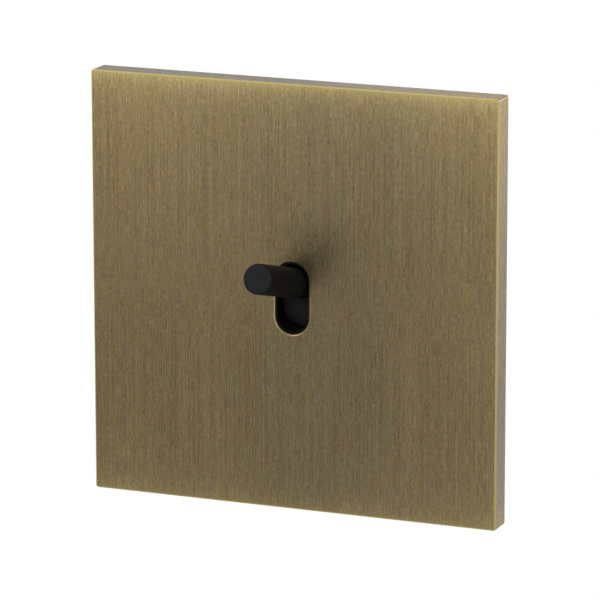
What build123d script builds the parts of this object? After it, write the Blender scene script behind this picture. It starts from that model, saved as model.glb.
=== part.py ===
from build123d import *
import os
from math import asin, cos, degrees, radians, sin, tan

# A flush wall push switch that is worked by a small lever: a thick square metal plate with an
# upright slot, a round lever that stands out of the slot, and the sprung mechanism behind it.
# Millimetres. X is to the right as seen from the room, Y goes into the wall and Z is up.
# The wall's surface is Y = 0, and the middle of the plate is X = 0, Z = 0.

# Face plate
PLATE_SIZE = 85.0
PLATE_THICK = 5.5
PLATE_SKIN = 2.2  # metal left in front of the pocket in its back
PLATE_RIM = 5.0  # width of the rim round that pocket
PLATE_CORNER = 0.5
PLATE_EDGE_BREAK = 0.25
PLATE_BACK_BREAK = 0.2
POCKET_CORNER = 4.0
SLOT_EDGE_BREAK = 0.2
PRY_NOTCH_WIDTH = 10.0  # under the lower edge, to lever the plate off
PRY_NOTCH_REACH = 1.8
PRY_NOTCH_DEPTH = 1.0
PRY_NOTCH_CORNER = 0.9

# Lever, and how it swings
LEVER_DIAMETER = 6.0
LEVER_REACH = 30.5  # from the pivot to the end face
LEVER_EDGE = 0.35
PIVOT_DEPTH = 12.4  # the pivot's place behind the plate's front face
REST_TILT = 14.5  # the lever rests this far above level, and is pressed as far below it
LEVER_SIDE_GAP = 0.25
LEVER_END_GAP = 0.6
LEVER_SEAT = 2.0  # how deep the lever's foot sits in the rocker

# Stud that joins the lever to the rocker
STUD_DIAMETER = 3.0
STUD_IN_LEVER = 5.8
STUD_IN_ROCKER = 3.7
STUD_END_BREAK = 0.35
STUD_HOLE_SPARE = 0.2
THREAD_GAP = 0.02  # radial, between a screw's solid and its hole

# Rocker, which closes the slot with a round shield
SHIELD_DEPTH = 3.6  # the shield's place behind the plate's front face
SHIELD_THICK = 1.5
SHIELD_HALF_ANGLE = 70.0
ROCKER_SIDE_LAP = 1.35  # what the rocker is wider than the slot, on each side
CHEEK_THICK = 1.0
HUB_RADIUS = 2.75
HUB_STAND_OUT = 0.15
SEAT_WALL = 0.7
FINGER_RADIUS = 7.5  # from the pivot to the middle of the finger's round tip
FINGER_TIP_RADIUS = 1.2
FINGER_WIDTH = 4.0
FINGER_FRONT = 1.8
FINGER_REAR = 0.5
FINGER_WEB_HEIGHT = 4.6  # of the thin web that stiffens the finger
FINGER_WEB_THICK = 1.2
FINGER_WEB_REAR = 1.3
SHIELD_EDGE = 0.3

# Pivot pin and its clip
PIN_DIAMETER = 2.0
PIN_RUNNING_GAP = 0.04
PIN_HEAD_DIAMETER = 3.4
PIN_HEAD_THICK = 0.6
CLIP_THICK = 0.5
CLIP_DIAMETER = 4.2
CLIP_SIDE_GAP = 0.05
GROOVE_DIAMETER = 1.5
PIN_TAIL = 0.7
PIN_END_BREAK = 0.2
CLIP_MOUTH = 1.26

# Front cover, with the black collar that lines the slot
COLLAR_GAP = 0.05
COLLAR_WALL = 0.3
COLLAR_SETBACK = 0.35
COVER_TO_PLATE_GAP = 0.1
COVER_FLANGE = 1.8
COVER_BLOCK_WIDTH = 22.0
COVER_BLOCK_HEIGHT = 26.0
COVER_CORNER = 2.0
COVER_WALL = 1.4
COVER_FRONT_EDGE = 0.6
COVER_LIP_HEIGHT = 1.0  # of the lip behind the flange that centres the cover in the housing
COVER_LIP_THICK = 1.1
COVER_LIP_GAP = 0.15
COVER_LIP_BREAK = 0.3
ROCKER_RADIAL_GAP = 0.3
EAR_SIDE_GAP = 0.3
EAR_THICK = 2.2
EAR_RADIUS = 10.2
EAR_BEHIND_PIVOT = 3.6

# Rubber stops
BUFFER_RADIUS = 1.0
BUFFER_REACH = 1.7  # how far a stop stands in over the shield's end
BUFFER_EDGE = 0.3
STOP_GAP = 0.05

# Yoke: the steel sheet that is screwed to the wall box
YOKE_THICK = 1.2
YOKE_CLEARANCE = 2.0  # between the yoke's edge and the plate's pocket
YOKE_CORNER = 4.0
YOKE_OPENING_GAP = 1.0
YOKE_OPENING_CORNER = 3.0
BOX_SCREW_PITCH = 60.0
BOX_SLOT_WIDTH = 4.0
BOX_SLOT_LENGTH = 8.0
LEVEL_NOTCH_DEPTH = 0.9  # small notches in the middle of each side, to level the yoke by
LEVEL_NOTCH_WIDTH = 1.8

# Earth lug, bent back out of the yoke, and its clamp
LUG_WIDTH = 7.4
LUG_LENGTH = 8.0
LUG_MIDDLE_X = 10.0
LUG_ABOVE_HOUSING = 3.0
LUG_RELIEF = 0.5
LUG_SCREW_Y = 4.8
BEND_RADIUS = 0.9
EARTH_SCREW_DIAMETER = 3.5
EARTH_WASHER_SIZE = 6.8
EARTH_WASHER_THICK = 0.9
EARTH_SCREW_BELOW = 2.0  # thread that shows under the lug
EARTH_HEAD_DIAMETER = 6.0
EARTH_HEAD_THICK = 2.0
EARTH_HEAD_EDGE = 0.7
EARTH_SLOT_WIDTH = 0.96
EARTH_SLOT_DEPTH = 0.96

# Plate carrier: the moulded frame in the plate's pocket that hooks on the yoke
CARRIER_GAP = 0.3
CARRIER_TO_YOKE_GAP = 0.2
CARRIER_WINDOW_MARGIN = 3.0
CARRIER_WINDOW_TALL_MARGIN = 1.5
CARRIER_CORNER = 3.5
SCREW_HEAD_ROOM = 9.0
HOOK_WIDTH = 6.0
HOOK_THICK = 1.2
HOOK_BARB = 0.6
HOOK_TO_YOKE_GAP = 0.1
HOOK_BARB_LENGTH = 1.1
HOOK_SIDE_GAP = 0.5
HOOK_END_GAP = 0.3
HOOK_BESIDE_HOUSING = 2.0
HOOK_ABOVE_HOUSING = 3.0
CARRIER_SCREW_INSET = 5.5  # from the pocket's side
CARRIER_SCREW_DIAMETER = 2.0
CARRIER_HEAD_DIAMETER = 3.8
CARRIER_SCREW_BITE = 1.4  # thread in the plate
CARRIER_HOLE_SPARE = 0.2
CARRIER_HEAD_DEPTH = 1.0
CARRIER_WALL = 1.2  # of the walls and ribs that are left between the hollows in its back
CARRIER_HOLLOW = 0.9
CARRIER_RIB_PITCH = 12.0
CARRIER_CROSS = (1.14, 0.3, 0.6)  # a recess for a cross driver: arm, half width, depth

# Housing
HOUSING_WIDTH = 40.0
HOUSING_HEIGHT = 42.0
HOUSING_WALL = 1.8
HOUSING_BACK = 2.0
HOUSING_CORNER = 5.0
HOUSING_BACK_EDGE = 1.0
BOSS_INSET = 4.0
BOSS_DIAMETER = 6.0
PARTITION_THICK = 1.2
PARTITION_GAP = 1.2  # beside the contact bridge
BACK_PANEL_WIDTH = 17.0  # the sunk panel in the middle of the back
BACK_PANEL_HEIGHT = 30.0
BACK_PANEL_CORNER = 2.0
BACK_PANEL_DEPTH = 0.5
SIDE_FLUTE_WIDTH = 2.4  # flutes along the outside of the side walls
SIDE_FLUTE_PITCH = 4.2
SIDE_FLUTE_DEPTH = 0.5
SIDE_FLUTE_COUNT = 5
SIDE_FLUTE_START = 4.0  # behind the housing's front
SIDE_FLUTE_END = 4.0  # before its back
STRIP_GAUGE_LENGTH = 8.0  # a groove that shows how much wire to bare
STRIP_GAUGE_WIDTH = 1.6
STRIP_GAUGE_DEPTH = 0.5
STRIP_GAUGE_Z = 12.0

# Screws that hold yoke, cover and housing together
MECH_SCREW_DIAMETER = 2.5
MECH_SCREW_REACH = 11.0  # how far it goes behind the yoke
MECH_HOLE_GAP = 0.15
MECH_HEAD_DIAMETER = 4.5
MECH_HEAD_THICK = 1.4
MECH_HEAD_EDGE = 0.55
MECH_CROSS = (1.35, 0.36, 0.72)
MECH_TIP_BREAK = 0.5
MECH_HOLE_SPARE = 1.0

# Deck: the insulating plate between the rocker and the contacts
DECK_THICK = 1.4
DECK_EDGE_GAP = 0.3
DECK_BEHIND_EARS = 0.4
DECK_POST_SIZE = 3.0
DECK_HALF_HEIGHT_INSET = 0.4  # between the deck and the screw bosses
DECK_CORNER = 1.5
GUIDE_WALL = 1.0  # round the plunger
GUIDE_LENGTH = 1.5
DECK_RIB_HEIGHT = 1.0
DECK_RIB_THICK = 1.2
DECK_RIB_Z = (-12.6, 1.0, 10.0)
DECK_RIB_END_GAP = 0.4

# Plunger, which the rocker's finger pushes back
PLUNGER_WIDTH = 5.2
PLUNGER_HEIGHT = 7.2
PLUNGER_GUIDE_GAP = 0.15
PUSH_GAP = 0.05
PAD_HEIGHT = 3.0
PAD_LENGTH = 1.5
NOSE_LENGTH = 6.6
WINDOW_HEIGHT = 4.4
TAIL_LENGTH = 2.2
PAD_EDGE = 0.4
NOSE_BREAK = 0.3
SPRING_SEAT_DIAMETER = 3.4
SPRING_SEAT_HEIGHT = 0.4
STEM_DIAMETER = 1.9
STEM_ENGAGED = 1.1  # how far the stem stands in the post's bore at rest
STEM_END_GAP = 0.5  # left in the bore when the lever is pressed

# Contacts
BRIDGE_HALF_LENGTH = 8.6
BRIDGE_HEIGHT = 4.0
BRIDGE_THICK = 0.6
BRIDGE_CORNER = 1.0
BRIDGE_WAIST_LENGTH = 5.6  # the narrower middle that the plunger's window holds
BRIDGE_WAIST_HEIGHT = 3.2
BRIDGE_STUD_DIAMETER = 1.8  # keeps the contact spring in the middle
BRIDGE_STUD_HEIGHT = 0.5
TIP_DIAMETER = 2.6
TIP_THICK = 0.7
TIP_X = 6.9
TIP_EDGE = 0.2
CLOSED_GAP = 0.05
STRIP_THICK = 0.8
STRIP_INNER_X = 5.4
STRIP_BACK_GAP = 1.1
STRIP_BEND = 0.7

# Springs
CONTACT_SPRING_LENGTH = 3.2
CONTACT_SPRING_RADIUS = 1.35
CONTACT_SPRING_WIRE = 0.35
CONTACT_SPRING_TURNS = 3.5
RETURN_SPRING_RADIUS = 2.1
RETURN_SPRING_WIRE = 0.45
RETURN_SPRING_TURNS = 6.0
POST_DIAMETER = 3.2
POST_FRONT_GAP = 0.2  # left before the post when the lever is pressed
POST_BORE_GAP = 0.15
POST_BORE_DEEPER = 0.6

# Wire terminals
BLOCK_WIDTH = 6.0
BLOCK_HEIGHT = 8.0
BLOCK_DEPTH = 9.0
BLOCK_GAP = 0.1
BLOCK_WALL_GAP = 0.2
BLOCK_EDGE = 0.2
BLOCK_ENTRY_BREAK = 0.4
WIRE_BORE = 3.4
WIRE_FROM_BACK = 4.5
WIRE_ENTRY = 3.9
WIRE_FUNNEL = 0.8
TERMINAL_SCREW_DIAMETER = 3.5
TERMINAL_HEAD_DIAMETER = 5.0
TERMINAL_HEAD_THICK = 1.2
TERMINAL_SCREW_OUT = 0.4  # the screw stands open by this much
TERMINAL_TIP_GAP = 0.2
TERMINAL_HOLE_GAP = 0.3
TERMINAL_SLOT_WIDTH = 0.8
TERMINAL_SLOT_DEPTH = 0.9
TERMINAL_DISH_WIDTH = 1.2  # of the sunk ring round the way to a terminal screw
TERMINAL_DISH_DEPTH = 0.6
NEST_RIB = 1.2
NEST_RIB_AHEAD = 2.0

# Heights and places that follow from the sizes above
FRONT_Y = -PLATE_THICK
POCKET_Y = FRONT_Y + PLATE_SKIN
PIVOT_Y = FRONT_Y + PIVOT_DEPTH
YOKE_FRONT_Y = -YOKE_THICK
POCKET_SIZE = PLATE_SIZE - 2 * PLATE_RIM
YOKE_SIZE = POCKET_SIZE - 2 * YOKE_CLEARANCE
LEVER_RADIUS = LEVER_DIAMETER / 2
COLLAR_INNER_WIDTH = LEVER_DIAMETER + 2 * LEVER_SIDE_GAP
SLOT_WIDTH = COLLAR_INNER_WIDTH + 2 * (COLLAR_WALL + COLLAR_GAP)
LEVER_RISE = PIVOT_DEPTH * tan(radians(REST_TILT)) + LEVER_RADIUS / cos(radians(REST_TILT))
COLLAR_INNER_HEIGHT = 2 * (LEVER_RISE + LEVER_END_GAP)
SLOT_HEIGHT = COLLAR_INNER_HEIGHT + 2 * (COLLAR_WALL + COLLAR_GAP)
SHIELD_RADIUS = PIVOT_DEPTH - SHIELD_DEPTH
ROCKER_HALF_WIDTH = COLLAR_INNER_WIDTH / 2 + ROCKER_SIDE_LAP
LEVER_FOOT = SHIELD_RADIUS - LEVER_SEAT
EAR_INNER_X = ROCKER_HALF_WIDTH + EAR_SIDE_GAP
EAR_OUTER_X = EAR_INNER_X + EAR_THICK
EAR_BACK_Y = PIVOT_Y + EAR_BEHIND_PIVOT
COVER_FRONT_Y = POCKET_Y + COVER_TO_PLATE_GAP
HOUSING_FRONT_Y = COVER_FLANGE
INNER_HALF_WIDTH = HOUSING_WIDTH / 2 - HOUSING_WALL
INNER_HALF_HEIGHT = HOUSING_HEIGHT / 2 - HOUSING_WALL
SCREW_X = HOUSING_WIDTH / 2 - BOSS_INSET
SCREW_Z = HOUSING_HEIGHT / 2 - BOSS_INSET
DECK_FRONT_Y = EAR_BACK_Y + DECK_BEHIND_EARS
DECK_BACK_Y = DECK_FRONT_Y + DECK_THICK
HOOK_X = HOUSING_WIDTH / 2 + HOOK_BESIDE_HOUSING
HOOK_Z = HOUSING_HEIGHT / 2 + HOOK_ABOVE_HOUSING
LUG_Z = HOUSING_HEIGHT / 2 + LUG_ABOVE_HOUSING

# The finger's tip pushes the plunger back as the lever is pressed down
CONTACT_Z = -FINGER_RADIUS
PLUNGER_TRAVEL = 2 * FINGER_RADIUS * sin(radians(REST_TILT))
PLUNGER_FRONT_Y = PIVOT_Y - PLUNGER_TRAVEL / 2 + FINGER_TIP_RADIUS + PUSH_GAP
WINDOW_FRONT_Y = PLUNGER_FRONT_Y + NOSE_LENGTH
BRIDGE_FRONT_Y = WINDOW_FRONT_Y + CONTACT_SPRING_LENGTH
BRIDGE_BACK_Y = BRIDGE_FRONT_Y + BRIDGE_THICK
PLUNGER_BACK_Y = BRIDGE_BACK_Y + TAIL_LENGTH
FIXED_TIP_Y = BRIDGE_BACK_Y + TIP_THICK + PLUNGER_TRAVEL + CLOSED_GAP
STRIP_Y = FIXED_TIP_Y + TIP_THICK
POST_FRONT_Y = PLUNGER_BACK_Y + SPRING_SEAT_HEIGHT + PLUNGER_TRAVEL + POST_FRONT_GAP
STEM_BACK_Y = POST_FRONT_Y + STEM_ENGAGED
HOUSING_INNER_Y = STEM_BACK_Y + PLUNGER_TRAVEL + STEM_END_GAP - POST_BORE_DEEPER
HOUSING_DEPTH = HOUSING_INNER_Y + HOUSING_BACK
STRIP_BACK_Y = HOUSING_INNER_Y - STRIP_BACK_GAP
BLOCK_X = INNER_HALF_WIDTH - BLOCK_WALL_GAP - BLOCK_WIDTH / 2
BLOCK_FRONT_Y = HOUSING_INNER_Y - BLOCK_DEPTH
BLOCK_INNER_X = BLOCK_X - BLOCK_WIDTH / 2
PARTITION_X = BRIDGE_HALF_LENGTH + PARTITION_GAP
WIRE_Y = HOUSING_INNER_Y - WIRE_FROM_BACK


def box(x0, x1, y0, y1, z0, z1):
    """A block between two corners."""
    middle = Pos((x0 + x1) / 2, (y0 + y1) / 2, (z0 + z1) / 2)
    return middle * Box(abs(x1 - x0), abs(y1 - y0), abs(z1 - z0))


def along_y(outline, front, back):
    """A flat outline, drawn as seen from the room, made solid from front to back."""
    return extrude(Plane.XZ.offset(-back) * outline, back - front)


def rod_x(radius, x0, x1, y=0.0, z=0.0):
    return Pos((x0 + x1) / 2, y, z) * Rot(0, 90, 0) * Cylinder(radius, abs(x1 - x0))


def rod_y(radius, y0, y1, x=0.0, z=0.0):
    return Pos(x, (y0 + y1) / 2, z) * Rot(90, 0, 0) * Cylinder(radius, abs(y1 - y0))


def rod_z(radius, z0, z1, x=0.0, y=0.0):
    return Pos(x, y, (z0 + z1) / 2) * Cylinder(radius, abs(z1 - z0))


def cone_y(front_radius, back_radius, front, back, x=0.0, z=0.0):
    """A cone along Y, for countersinks and funnels."""
    middle = Pos(x, (front + back) / 2, z)
    return middle * Rot(-90, 0, 0) * Cone(front_radius, back_radius, back - front)


def corners(x, z):
    """The four places that lie the same way out from the middle."""
    return [(sx * x, sz * z) for sx in (-1, 1) for sz in (-1, 1)]


def upright_slot(width, height):
    return SlotOverall(height, width, rotation=90)


def at_lever_rest(shape):
    """Turns what is drawn with the lever level, round the pivot, to the lever's rest."""
    return Pos(0, PIVOT_Y, 0) * Rot(-REST_TILT, 0, 0) * shape


def face_plate():
    """The metal plate: square, with a broken front edge, an upright slot and a pocketed back."""
    outline = RectangleRounded(PLATE_SIZE, PLATE_SIZE, PLATE_CORNER)
    plate = along_y(outline, FRONT_Y, 0)
    front = plate.faces().sort_by(Axis.Y)[0]
    plate = chamfer(front.edges(), PLATE_EDGE_BREAK)
    plate = chamfer(plate.faces().sort_by(Axis.Y)[-1].edges(), PLATE_BACK_BREAK)
    plate -= along_y(RectangleRounded(POCKET_SIZE, POCKET_SIZE, POCKET_CORNER), POCKET_Y, 0)
    notch = RectangleRounded(PRY_NOTCH_WIDTH, 2 * PRY_NOTCH_REACH, PRY_NOTCH_CORNER)
    plate -= along_y(Pos(0, -PLATE_SIZE / 2) * notch, -PRY_NOTCH_DEPTH, 0)
    plate -= along_y(upright_slot(SLOT_WIDTH, SLOT_HEIGHT), FRONT_Y, POCKET_Y)
    rim = plate.faces().sort_by(Axis.Y)[0].inner_wires()[0]
    plate = chamfer(rim.edges(), SLOT_EDGE_BREAK)
    reach = CARRIER_SCREW_BITE + CARRIER_HOLE_SPARE
    place = POCKET_SIZE / 2 - CARRIER_SCREW_INSET
    radius = CARRIER_SCREW_DIAMETER / 2 + THREAD_GAP
    for x, z in corners(place, place):
        plate -= rod_y(radius, POCKET_Y - reach, POCKET_Y, x, z)
    return plate


def plate_carrier():
    """The moulded frame that is screwed in the pocket, with four hooks for the yoke."""
    back = YOKE_FRONT_Y - CARRIER_TO_YOKE_GAP
    size = POCKET_SIZE - 2 * CARRIER_GAP
    outline = RectangleRounded(size, size, POCKET_CORNER - CARRIER_GAP)
    frame = along_y(outline, POCKET_Y, back)
    window = RectangleRounded(
        HOUSING_WIDTH + 2 * CARRIER_WINDOW_MARGIN,
        HOUSING_HEIGHT + 2 * CARRIER_WINDOW_TALL_MARGIN,
        CARRIER_CORNER,
    )
    frame -= along_y(window, POCKET_Y, back)
    frame -= along_y(carrier_hollows(size), back - CARRIER_HOLLOW, back)
    for x, z in box_screw_places():
        frame -= rod_y(SCREW_HEAD_ROOM / 2, POCKET_Y, back, x, z)
    place = POCKET_SIZE / 2 - CARRIER_SCREW_INSET
    for x, z in corners(place, place):
        frame -= rod_y(CARRIER_SCREW_DIAMETER / 2 + MECH_HOLE_GAP, POCKET_Y, back, x, z)
        frame -= carrier_head(back, x, z, THREAD_GAP)
    for x, z in corners(HOOK_X, HOOK_Z):
        frame += hook(back, x, z)
    return frame


def box_screw_places():
    """The four places where the yoke may be screwed to its box."""
    half = BOX_SCREW_PITCH / 2
    return [(half, 0), (-half, 0), (0, half), (0, -half)]


def carrier_hollows(size):
    """The outline of the hollows in the carrier's back, between walls, bosses and ribs."""
    inner = size - 2 * CARRIER_WALL
    field = RectangleRounded(inner, inner, POCKET_CORNER - CARRIER_GAP - CARRIER_WALL)
    field -= RectangleRounded(
        HOUSING_WIDTH + 2 * (CARRIER_WINDOW_MARGIN + CARRIER_WALL),
        HOUSING_HEIGHT + 2 * (CARRIER_WINDOW_TALL_MARGIN + CARRIER_WALL),
        CARRIER_CORNER + CARRIER_WALL,
    )
    for x, z in box_screw_places():
        field -= Pos(x, z) * Circle(SCREW_HEAD_ROOM / 2 + CARRIER_WALL)
    place = POCKET_SIZE / 2 - CARRIER_SCREW_INSET
    for x, z in corners(place, place):
        field -= Pos(x, z) * Circle(CARRIER_HEAD_DIAMETER / 2 + CARRIER_WALL)
    for x, z in corners(HOOK_X, HOOK_Z):
        field -= Pos(x, z) * Rectangle(HOOK_WIDTH + 2 * CARRIER_WALL, HOOK_THICK + 2 * CARRIER_WALL)
    for step in (-2, -1, 1, 2):
        field -= Pos(step * CARRIER_RIB_PITCH, 0) * Rectangle(CARRIER_WALL, size)
        field -= Pos(0, step * CARRIER_RIB_PITCH) * Rectangle(size, CARRIER_WALL)
    return field


def hook(front, x, z):
    """A flat leg with a barb on its outer side, which catches behind the yoke."""
    side = 1 if z > 0 else -1
    catch = HOOK_TO_YOKE_GAP
    end = catch + HOOK_BARB_LENGTH
    inner = z - side * HOOK_THICK / 2
    outer = z + side * HOOK_THICK / 2
    barb = outer + side * HOOK_BARB
    profile = Polyline(
        (front - YOKE_THICK / 2, inner),
        (end, inner),
        (end, outer),
        (catch, barb),
        (catch, outer),
        (front - YOKE_THICK / 2, outer),
        close=True,
    )
    leg = extrude(Plane.YZ * make_face(profile), HOOK_WIDTH / 2, both=True)
    return Pos(x, 0, 0) * leg


def carrier_head(back, x, z, gap):
    """The countersunk head of a carrier screw, or its seat where there is a gap."""
    radius = CARRIER_HEAD_DIAMETER / 2
    small = CARRIER_SCREW_DIAMETER / 2
    return cone_y(small + gap, radius + gap, back - CARRIER_HEAD_DEPTH, back, x, z)


def carrier_screws():
    """Four small countersunk screws, put in from behind."""
    back = YOKE_FRONT_Y - CARRIER_TO_YOKE_GAP
    place = POCKET_SIZE / 2 - CARRIER_SCREW_INSET
    radius = CARRIER_SCREW_DIAMETER / 2
    screws = []
    for x, z in corners(place, place):
        screw = rod_y(radius, POCKET_Y - CARRIER_SCREW_BITE, back - CARRIER_HEAD_DEPTH, x, z)
        screw += carrier_head(back, x, z, 0)
        screw -= cross_recess(back, x, z, CARRIER_CROSS, -1)
        screws.append(screw)
    return Compound(screws)


def cross_recess(face_y, x, z, sizes, into):
    """A cross recess in a screw's head. into is -1 where it is cut towards the room."""
    arm, half, depth = sizes
    y0, y1 = sorted((face_y, face_y + into * depth))
    flat = box(x - arm, x + arm, y0, y1, z - half, z + half)
    return flat + box(x - half, x + half, y0, y1, z - arm, z + arm)


def yoke():
    """The steel sheet: box screw slots, hook windows, a middle opening and an earth lug."""
    sheet = along_y(RectangleRounded(YOKE_SIZE, YOKE_SIZE, YOKE_CORNER), YOKE_FRONT_Y, 0)
    opening = RectangleRounded(
        COVER_BLOCK_WIDTH + 2 * YOKE_OPENING_GAP,
        COVER_BLOCK_HEIGHT + 2 * YOKE_OPENING_GAP,
        YOKE_OPENING_CORNER,
    )
    sheet -= along_y(opening, YOKE_FRONT_Y, 0)
    level = along_y(SlotOverall(BOX_SLOT_LENGTH, BOX_SLOT_WIDTH), YOKE_FRONT_Y, 0)
    upright = along_y(upright_slot(BOX_SLOT_WIDTH, BOX_SLOT_LENGTH), YOKE_FRONT_Y, 0)
    for x, z in box_screw_places():
        sheet -= Pos(x, 0, z) * (level if x else upright)
    notch = level_notch()
    for turn in (0, 90, 180, 270):
        sheet -= Rot(0, turn, 0) * notch
    for x, z in corners(SCREW_X, SCREW_Z):
        sheet -= rod_y(MECH_SCREW_DIAMETER / 2 + MECH_HOLE_GAP, YOKE_FRONT_Y, 0, x, z)
    for x, z in corners(HOOK_X, HOOK_Z):
        sheet -= hook_window(x, z)
    left = LUG_MIDDLE_X - LUG_WIDTH / 2
    right = LUG_MIDDLE_X + LUG_WIDTH / 2
    top = LUG_Z + LUG_LENGTH + YOKE_THICK
    sheet -= box(left - LUG_RELIEF, right + LUG_RELIEF, YOKE_FRONT_Y, 0, LUG_Z, top)
    lug = box(left, right, YOKE_FRONT_Y, LUG_LENGTH, LUG_Z, LUG_Z + YOKE_THICK)
    outer_bend = lug.edges().filter_by(Axis.X).group_by(Axis.Y)[0].sort_by(Axis.Z)[-1]
    lug = fillet(outer_bend, BEND_RADIUS)
    tip = lug.edges().filter_by(Axis.Z).group_by(Axis.Y)[-1]
    lug = fillet(tip, BEND_RADIUS)
    radius = EARTH_SCREW_DIAMETER / 2 + THREAD_GAP
    lug -= rod_z(radius, LUG_Z, LUG_Z + YOKE_THICK, LUG_MIDDLE_X, LUG_SCREW_Y)
    return sheet + lug


def level_notch():
    """The small notch in the middle of the yoke's upper edge."""
    edge = YOKE_SIZE / 2
    half = LEVEL_NOTCH_WIDTH / 2
    outline = Polyline((-half, edge), (0, edge - LEVEL_NOTCH_DEPTH), (half, edge), close=True)
    return along_y(make_face(outline), YOKE_FRONT_Y, 0)


def hook_window(x, z):
    """The opening in the yoke that one hook snaps through."""
    side = 1 if z > 0 else -1
    inner = z - side * (HOOK_THICK / 2 + HOOK_END_GAP)
    outer = z + side * (HOOK_THICK / 2 + HOOK_END_GAP)
    half = HOOK_WIDTH / 2 + HOOK_SIDE_GAP
    low, high = sorted((inner, outer))
    return box(x - half, x + half, YOKE_FRONT_Y, 0, low, high)


def earth_washer():
    """The square saddle that clamps the earth wire to the lug."""
    low = LUG_Z + YOKE_THICK
    half = EARTH_WASHER_SIZE / 2
    blank = Box(2 * half, 2 * half, EARTH_WASHER_THICK)
    washer = Pos(LUG_MIDDLE_X, LUG_SCREW_Y, low + EARTH_WASHER_THICK / 2) * blank
    washer = fillet(washer.edges().filter_by(Axis.Z), EARTH_WASHER_THICK)
    radius = EARTH_SCREW_DIAMETER / 2 + MECH_HOLE_GAP
    return washer - rod_z(radius, low, low + EARTH_WASHER_THICK, LUG_MIDDLE_X, LUG_SCREW_Y)


def earth_screw():
    """A pan screw down through the washer and the lug, with a plain slot."""
    seat = LUG_Z + YOKE_THICK + EARTH_WASHER_THICK
    top = seat + EARTH_HEAD_THICK
    head = rod_z(EARTH_HEAD_DIAMETER / 2, seat, top, LUG_MIDDLE_X, LUG_SCREW_Y)
    head = fillet(head.edges().group_by(Axis.Z)[-1], EARTH_HEAD_EDGE)
    slot = Box(EARTH_HEAD_DIAMETER, EARTH_SLOT_WIDTH, EARTH_SLOT_DEPTH)
    head -= Pos(LUG_MIDDLE_X, LUG_SCREW_Y, top - EARTH_SLOT_DEPTH / 2) * slot
    radius = EARTH_SCREW_DIAMETER / 2
    return head + rod_z(radius, LUG_Z - EARTH_SCREW_BELOW, seat, LUG_MIDDLE_X, LUG_SCREW_Y)


def front_cover():
    """The black moulding in front: flange, raised block, collar, and ears for the pivot."""
    flange = RectangleRounded(HOUSING_WIDTH, HOUSING_HEIGHT, HOUSING_CORNER)
    cover = along_y(flange, 0, COVER_FLANGE) + cover_lip()
    block = RectangleRounded(COVER_BLOCK_WIDTH, COVER_BLOCK_HEIGHT, COVER_CORNER)
    block = along_y(block, COVER_FRONT_Y, 0)
    cover += fillet(block.faces().sort_by(Axis.Y)[0].edges(), COVER_FRONT_EDGE)
    collar = upright_slot(SLOT_WIDTH - 2 * COLLAR_GAP, SLOT_HEIGHT - 2 * COLLAR_GAP)
    cover += along_y(collar, FRONT_Y + COLLAR_SETBACK, COVER_FRONT_Y)
    for side in (-1, 1):
        cover += ear(side)
        cover -= side_core(side)
    cover -= rod_x(SHIELD_RADIUS + ROCKER_RADIAL_GAP, -EAR_INNER_X, EAR_INNER_X, PIVOT_Y)
    way = upright_slot(COLLAR_INNER_WIDTH, COLLAR_INNER_HEIGHT)
    cover -= along_y(way, FRONT_Y, PIVOT_Y)
    for x, z in corners(SCREW_X, SCREW_Z):
        cover -= rod_y(MECH_SCREW_DIAMETER / 2 + MECH_HOLE_GAP, 0, COVER_FLANGE, x, z)
    cover -= rod_x(PIN_DIAMETER / 2 + THREAD_GAP, -EAR_OUTER_X, EAR_OUTER_X, PIVOT_Y)
    for y, z in buffer_places():
        cover -= rod_x(BUFFER_RADIUS + THREAD_GAP, -EAR_OUTER_X, EAR_OUTER_X, y, z)
    return cover


def cover_lip():
    """The lip behind the flange that centres the cover in the housing, clear of the bosses."""
    width = 2 * (INNER_HALF_WIDTH - COVER_LIP_GAP)
    height = 2 * (INNER_HALF_HEIGHT - COVER_LIP_GAP)
    corner = HOUSING_CORNER - HOUSING_WALL - COVER_LIP_GAP
    back = COVER_FLANGE + COVER_LIP_HEIGHT
    lip = along_y(RectangleRounded(width, height, corner), COVER_FLANGE, back)
    lip = chamfer(lip.faces().sort_by(Axis.Y)[-1].edges(), COVER_LIP_BREAK)
    inner = RectangleRounded(
        width - 2 * COVER_LIP_THICK, height - 2 * COVER_LIP_THICK, corner - COVER_LIP_THICK
    )
    lip -= along_y(inner, COVER_FLANGE, back)
    clear = BOSS_DIAMETER / 2 + COVER_LIP_GAP
    for x, z in corners(SCREW_X, SCREW_Z):
        lip -= rod_y(clear, COVER_FLANGE, back, x, z)
        lip -= box(x, 2 * x, COVER_FLANGE, back, z - clear, z + clear)
        lip -= box(x - clear, x + clear, COVER_FLANGE, back, z, 2 * z)
    return lip


def ear(side):
    """One of the two plates behind the cover that hold the pivot pin and the stops."""
    disc = Pos(PIVOT_Y, 0) * Circle(EAR_RADIUS)
    depth = EAR_BACK_Y - COVER_FRONT_Y / 2
    strip = Pos(COVER_FRONT_Y / 2 + depth / 2, 0) * Rectangle(depth, 2 * EAR_RADIUS)
    plate = extrude(Plane.YZ * (disc & strip), EAR_THICK / 2, both=True)
    return Pos(side * (EAR_INNER_X + EAR_OUTER_X) / 2, 0, 0) * plate


def side_core(side):
    """The hollow beside an ear, which keeps the moulding's walls even."""
    inner = EAR_OUTER_X
    outer = COVER_BLOCK_WIDTH / 2 - COVER_WALL
    half = COVER_BLOCK_HEIGHT / 2 - COVER_WALL
    x0, x1 = sorted((side * inner, side * outer))
    return box(x0, x1, COVER_FRONT_Y + COVER_WALL, COVER_FLANGE, -half, half)


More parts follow.
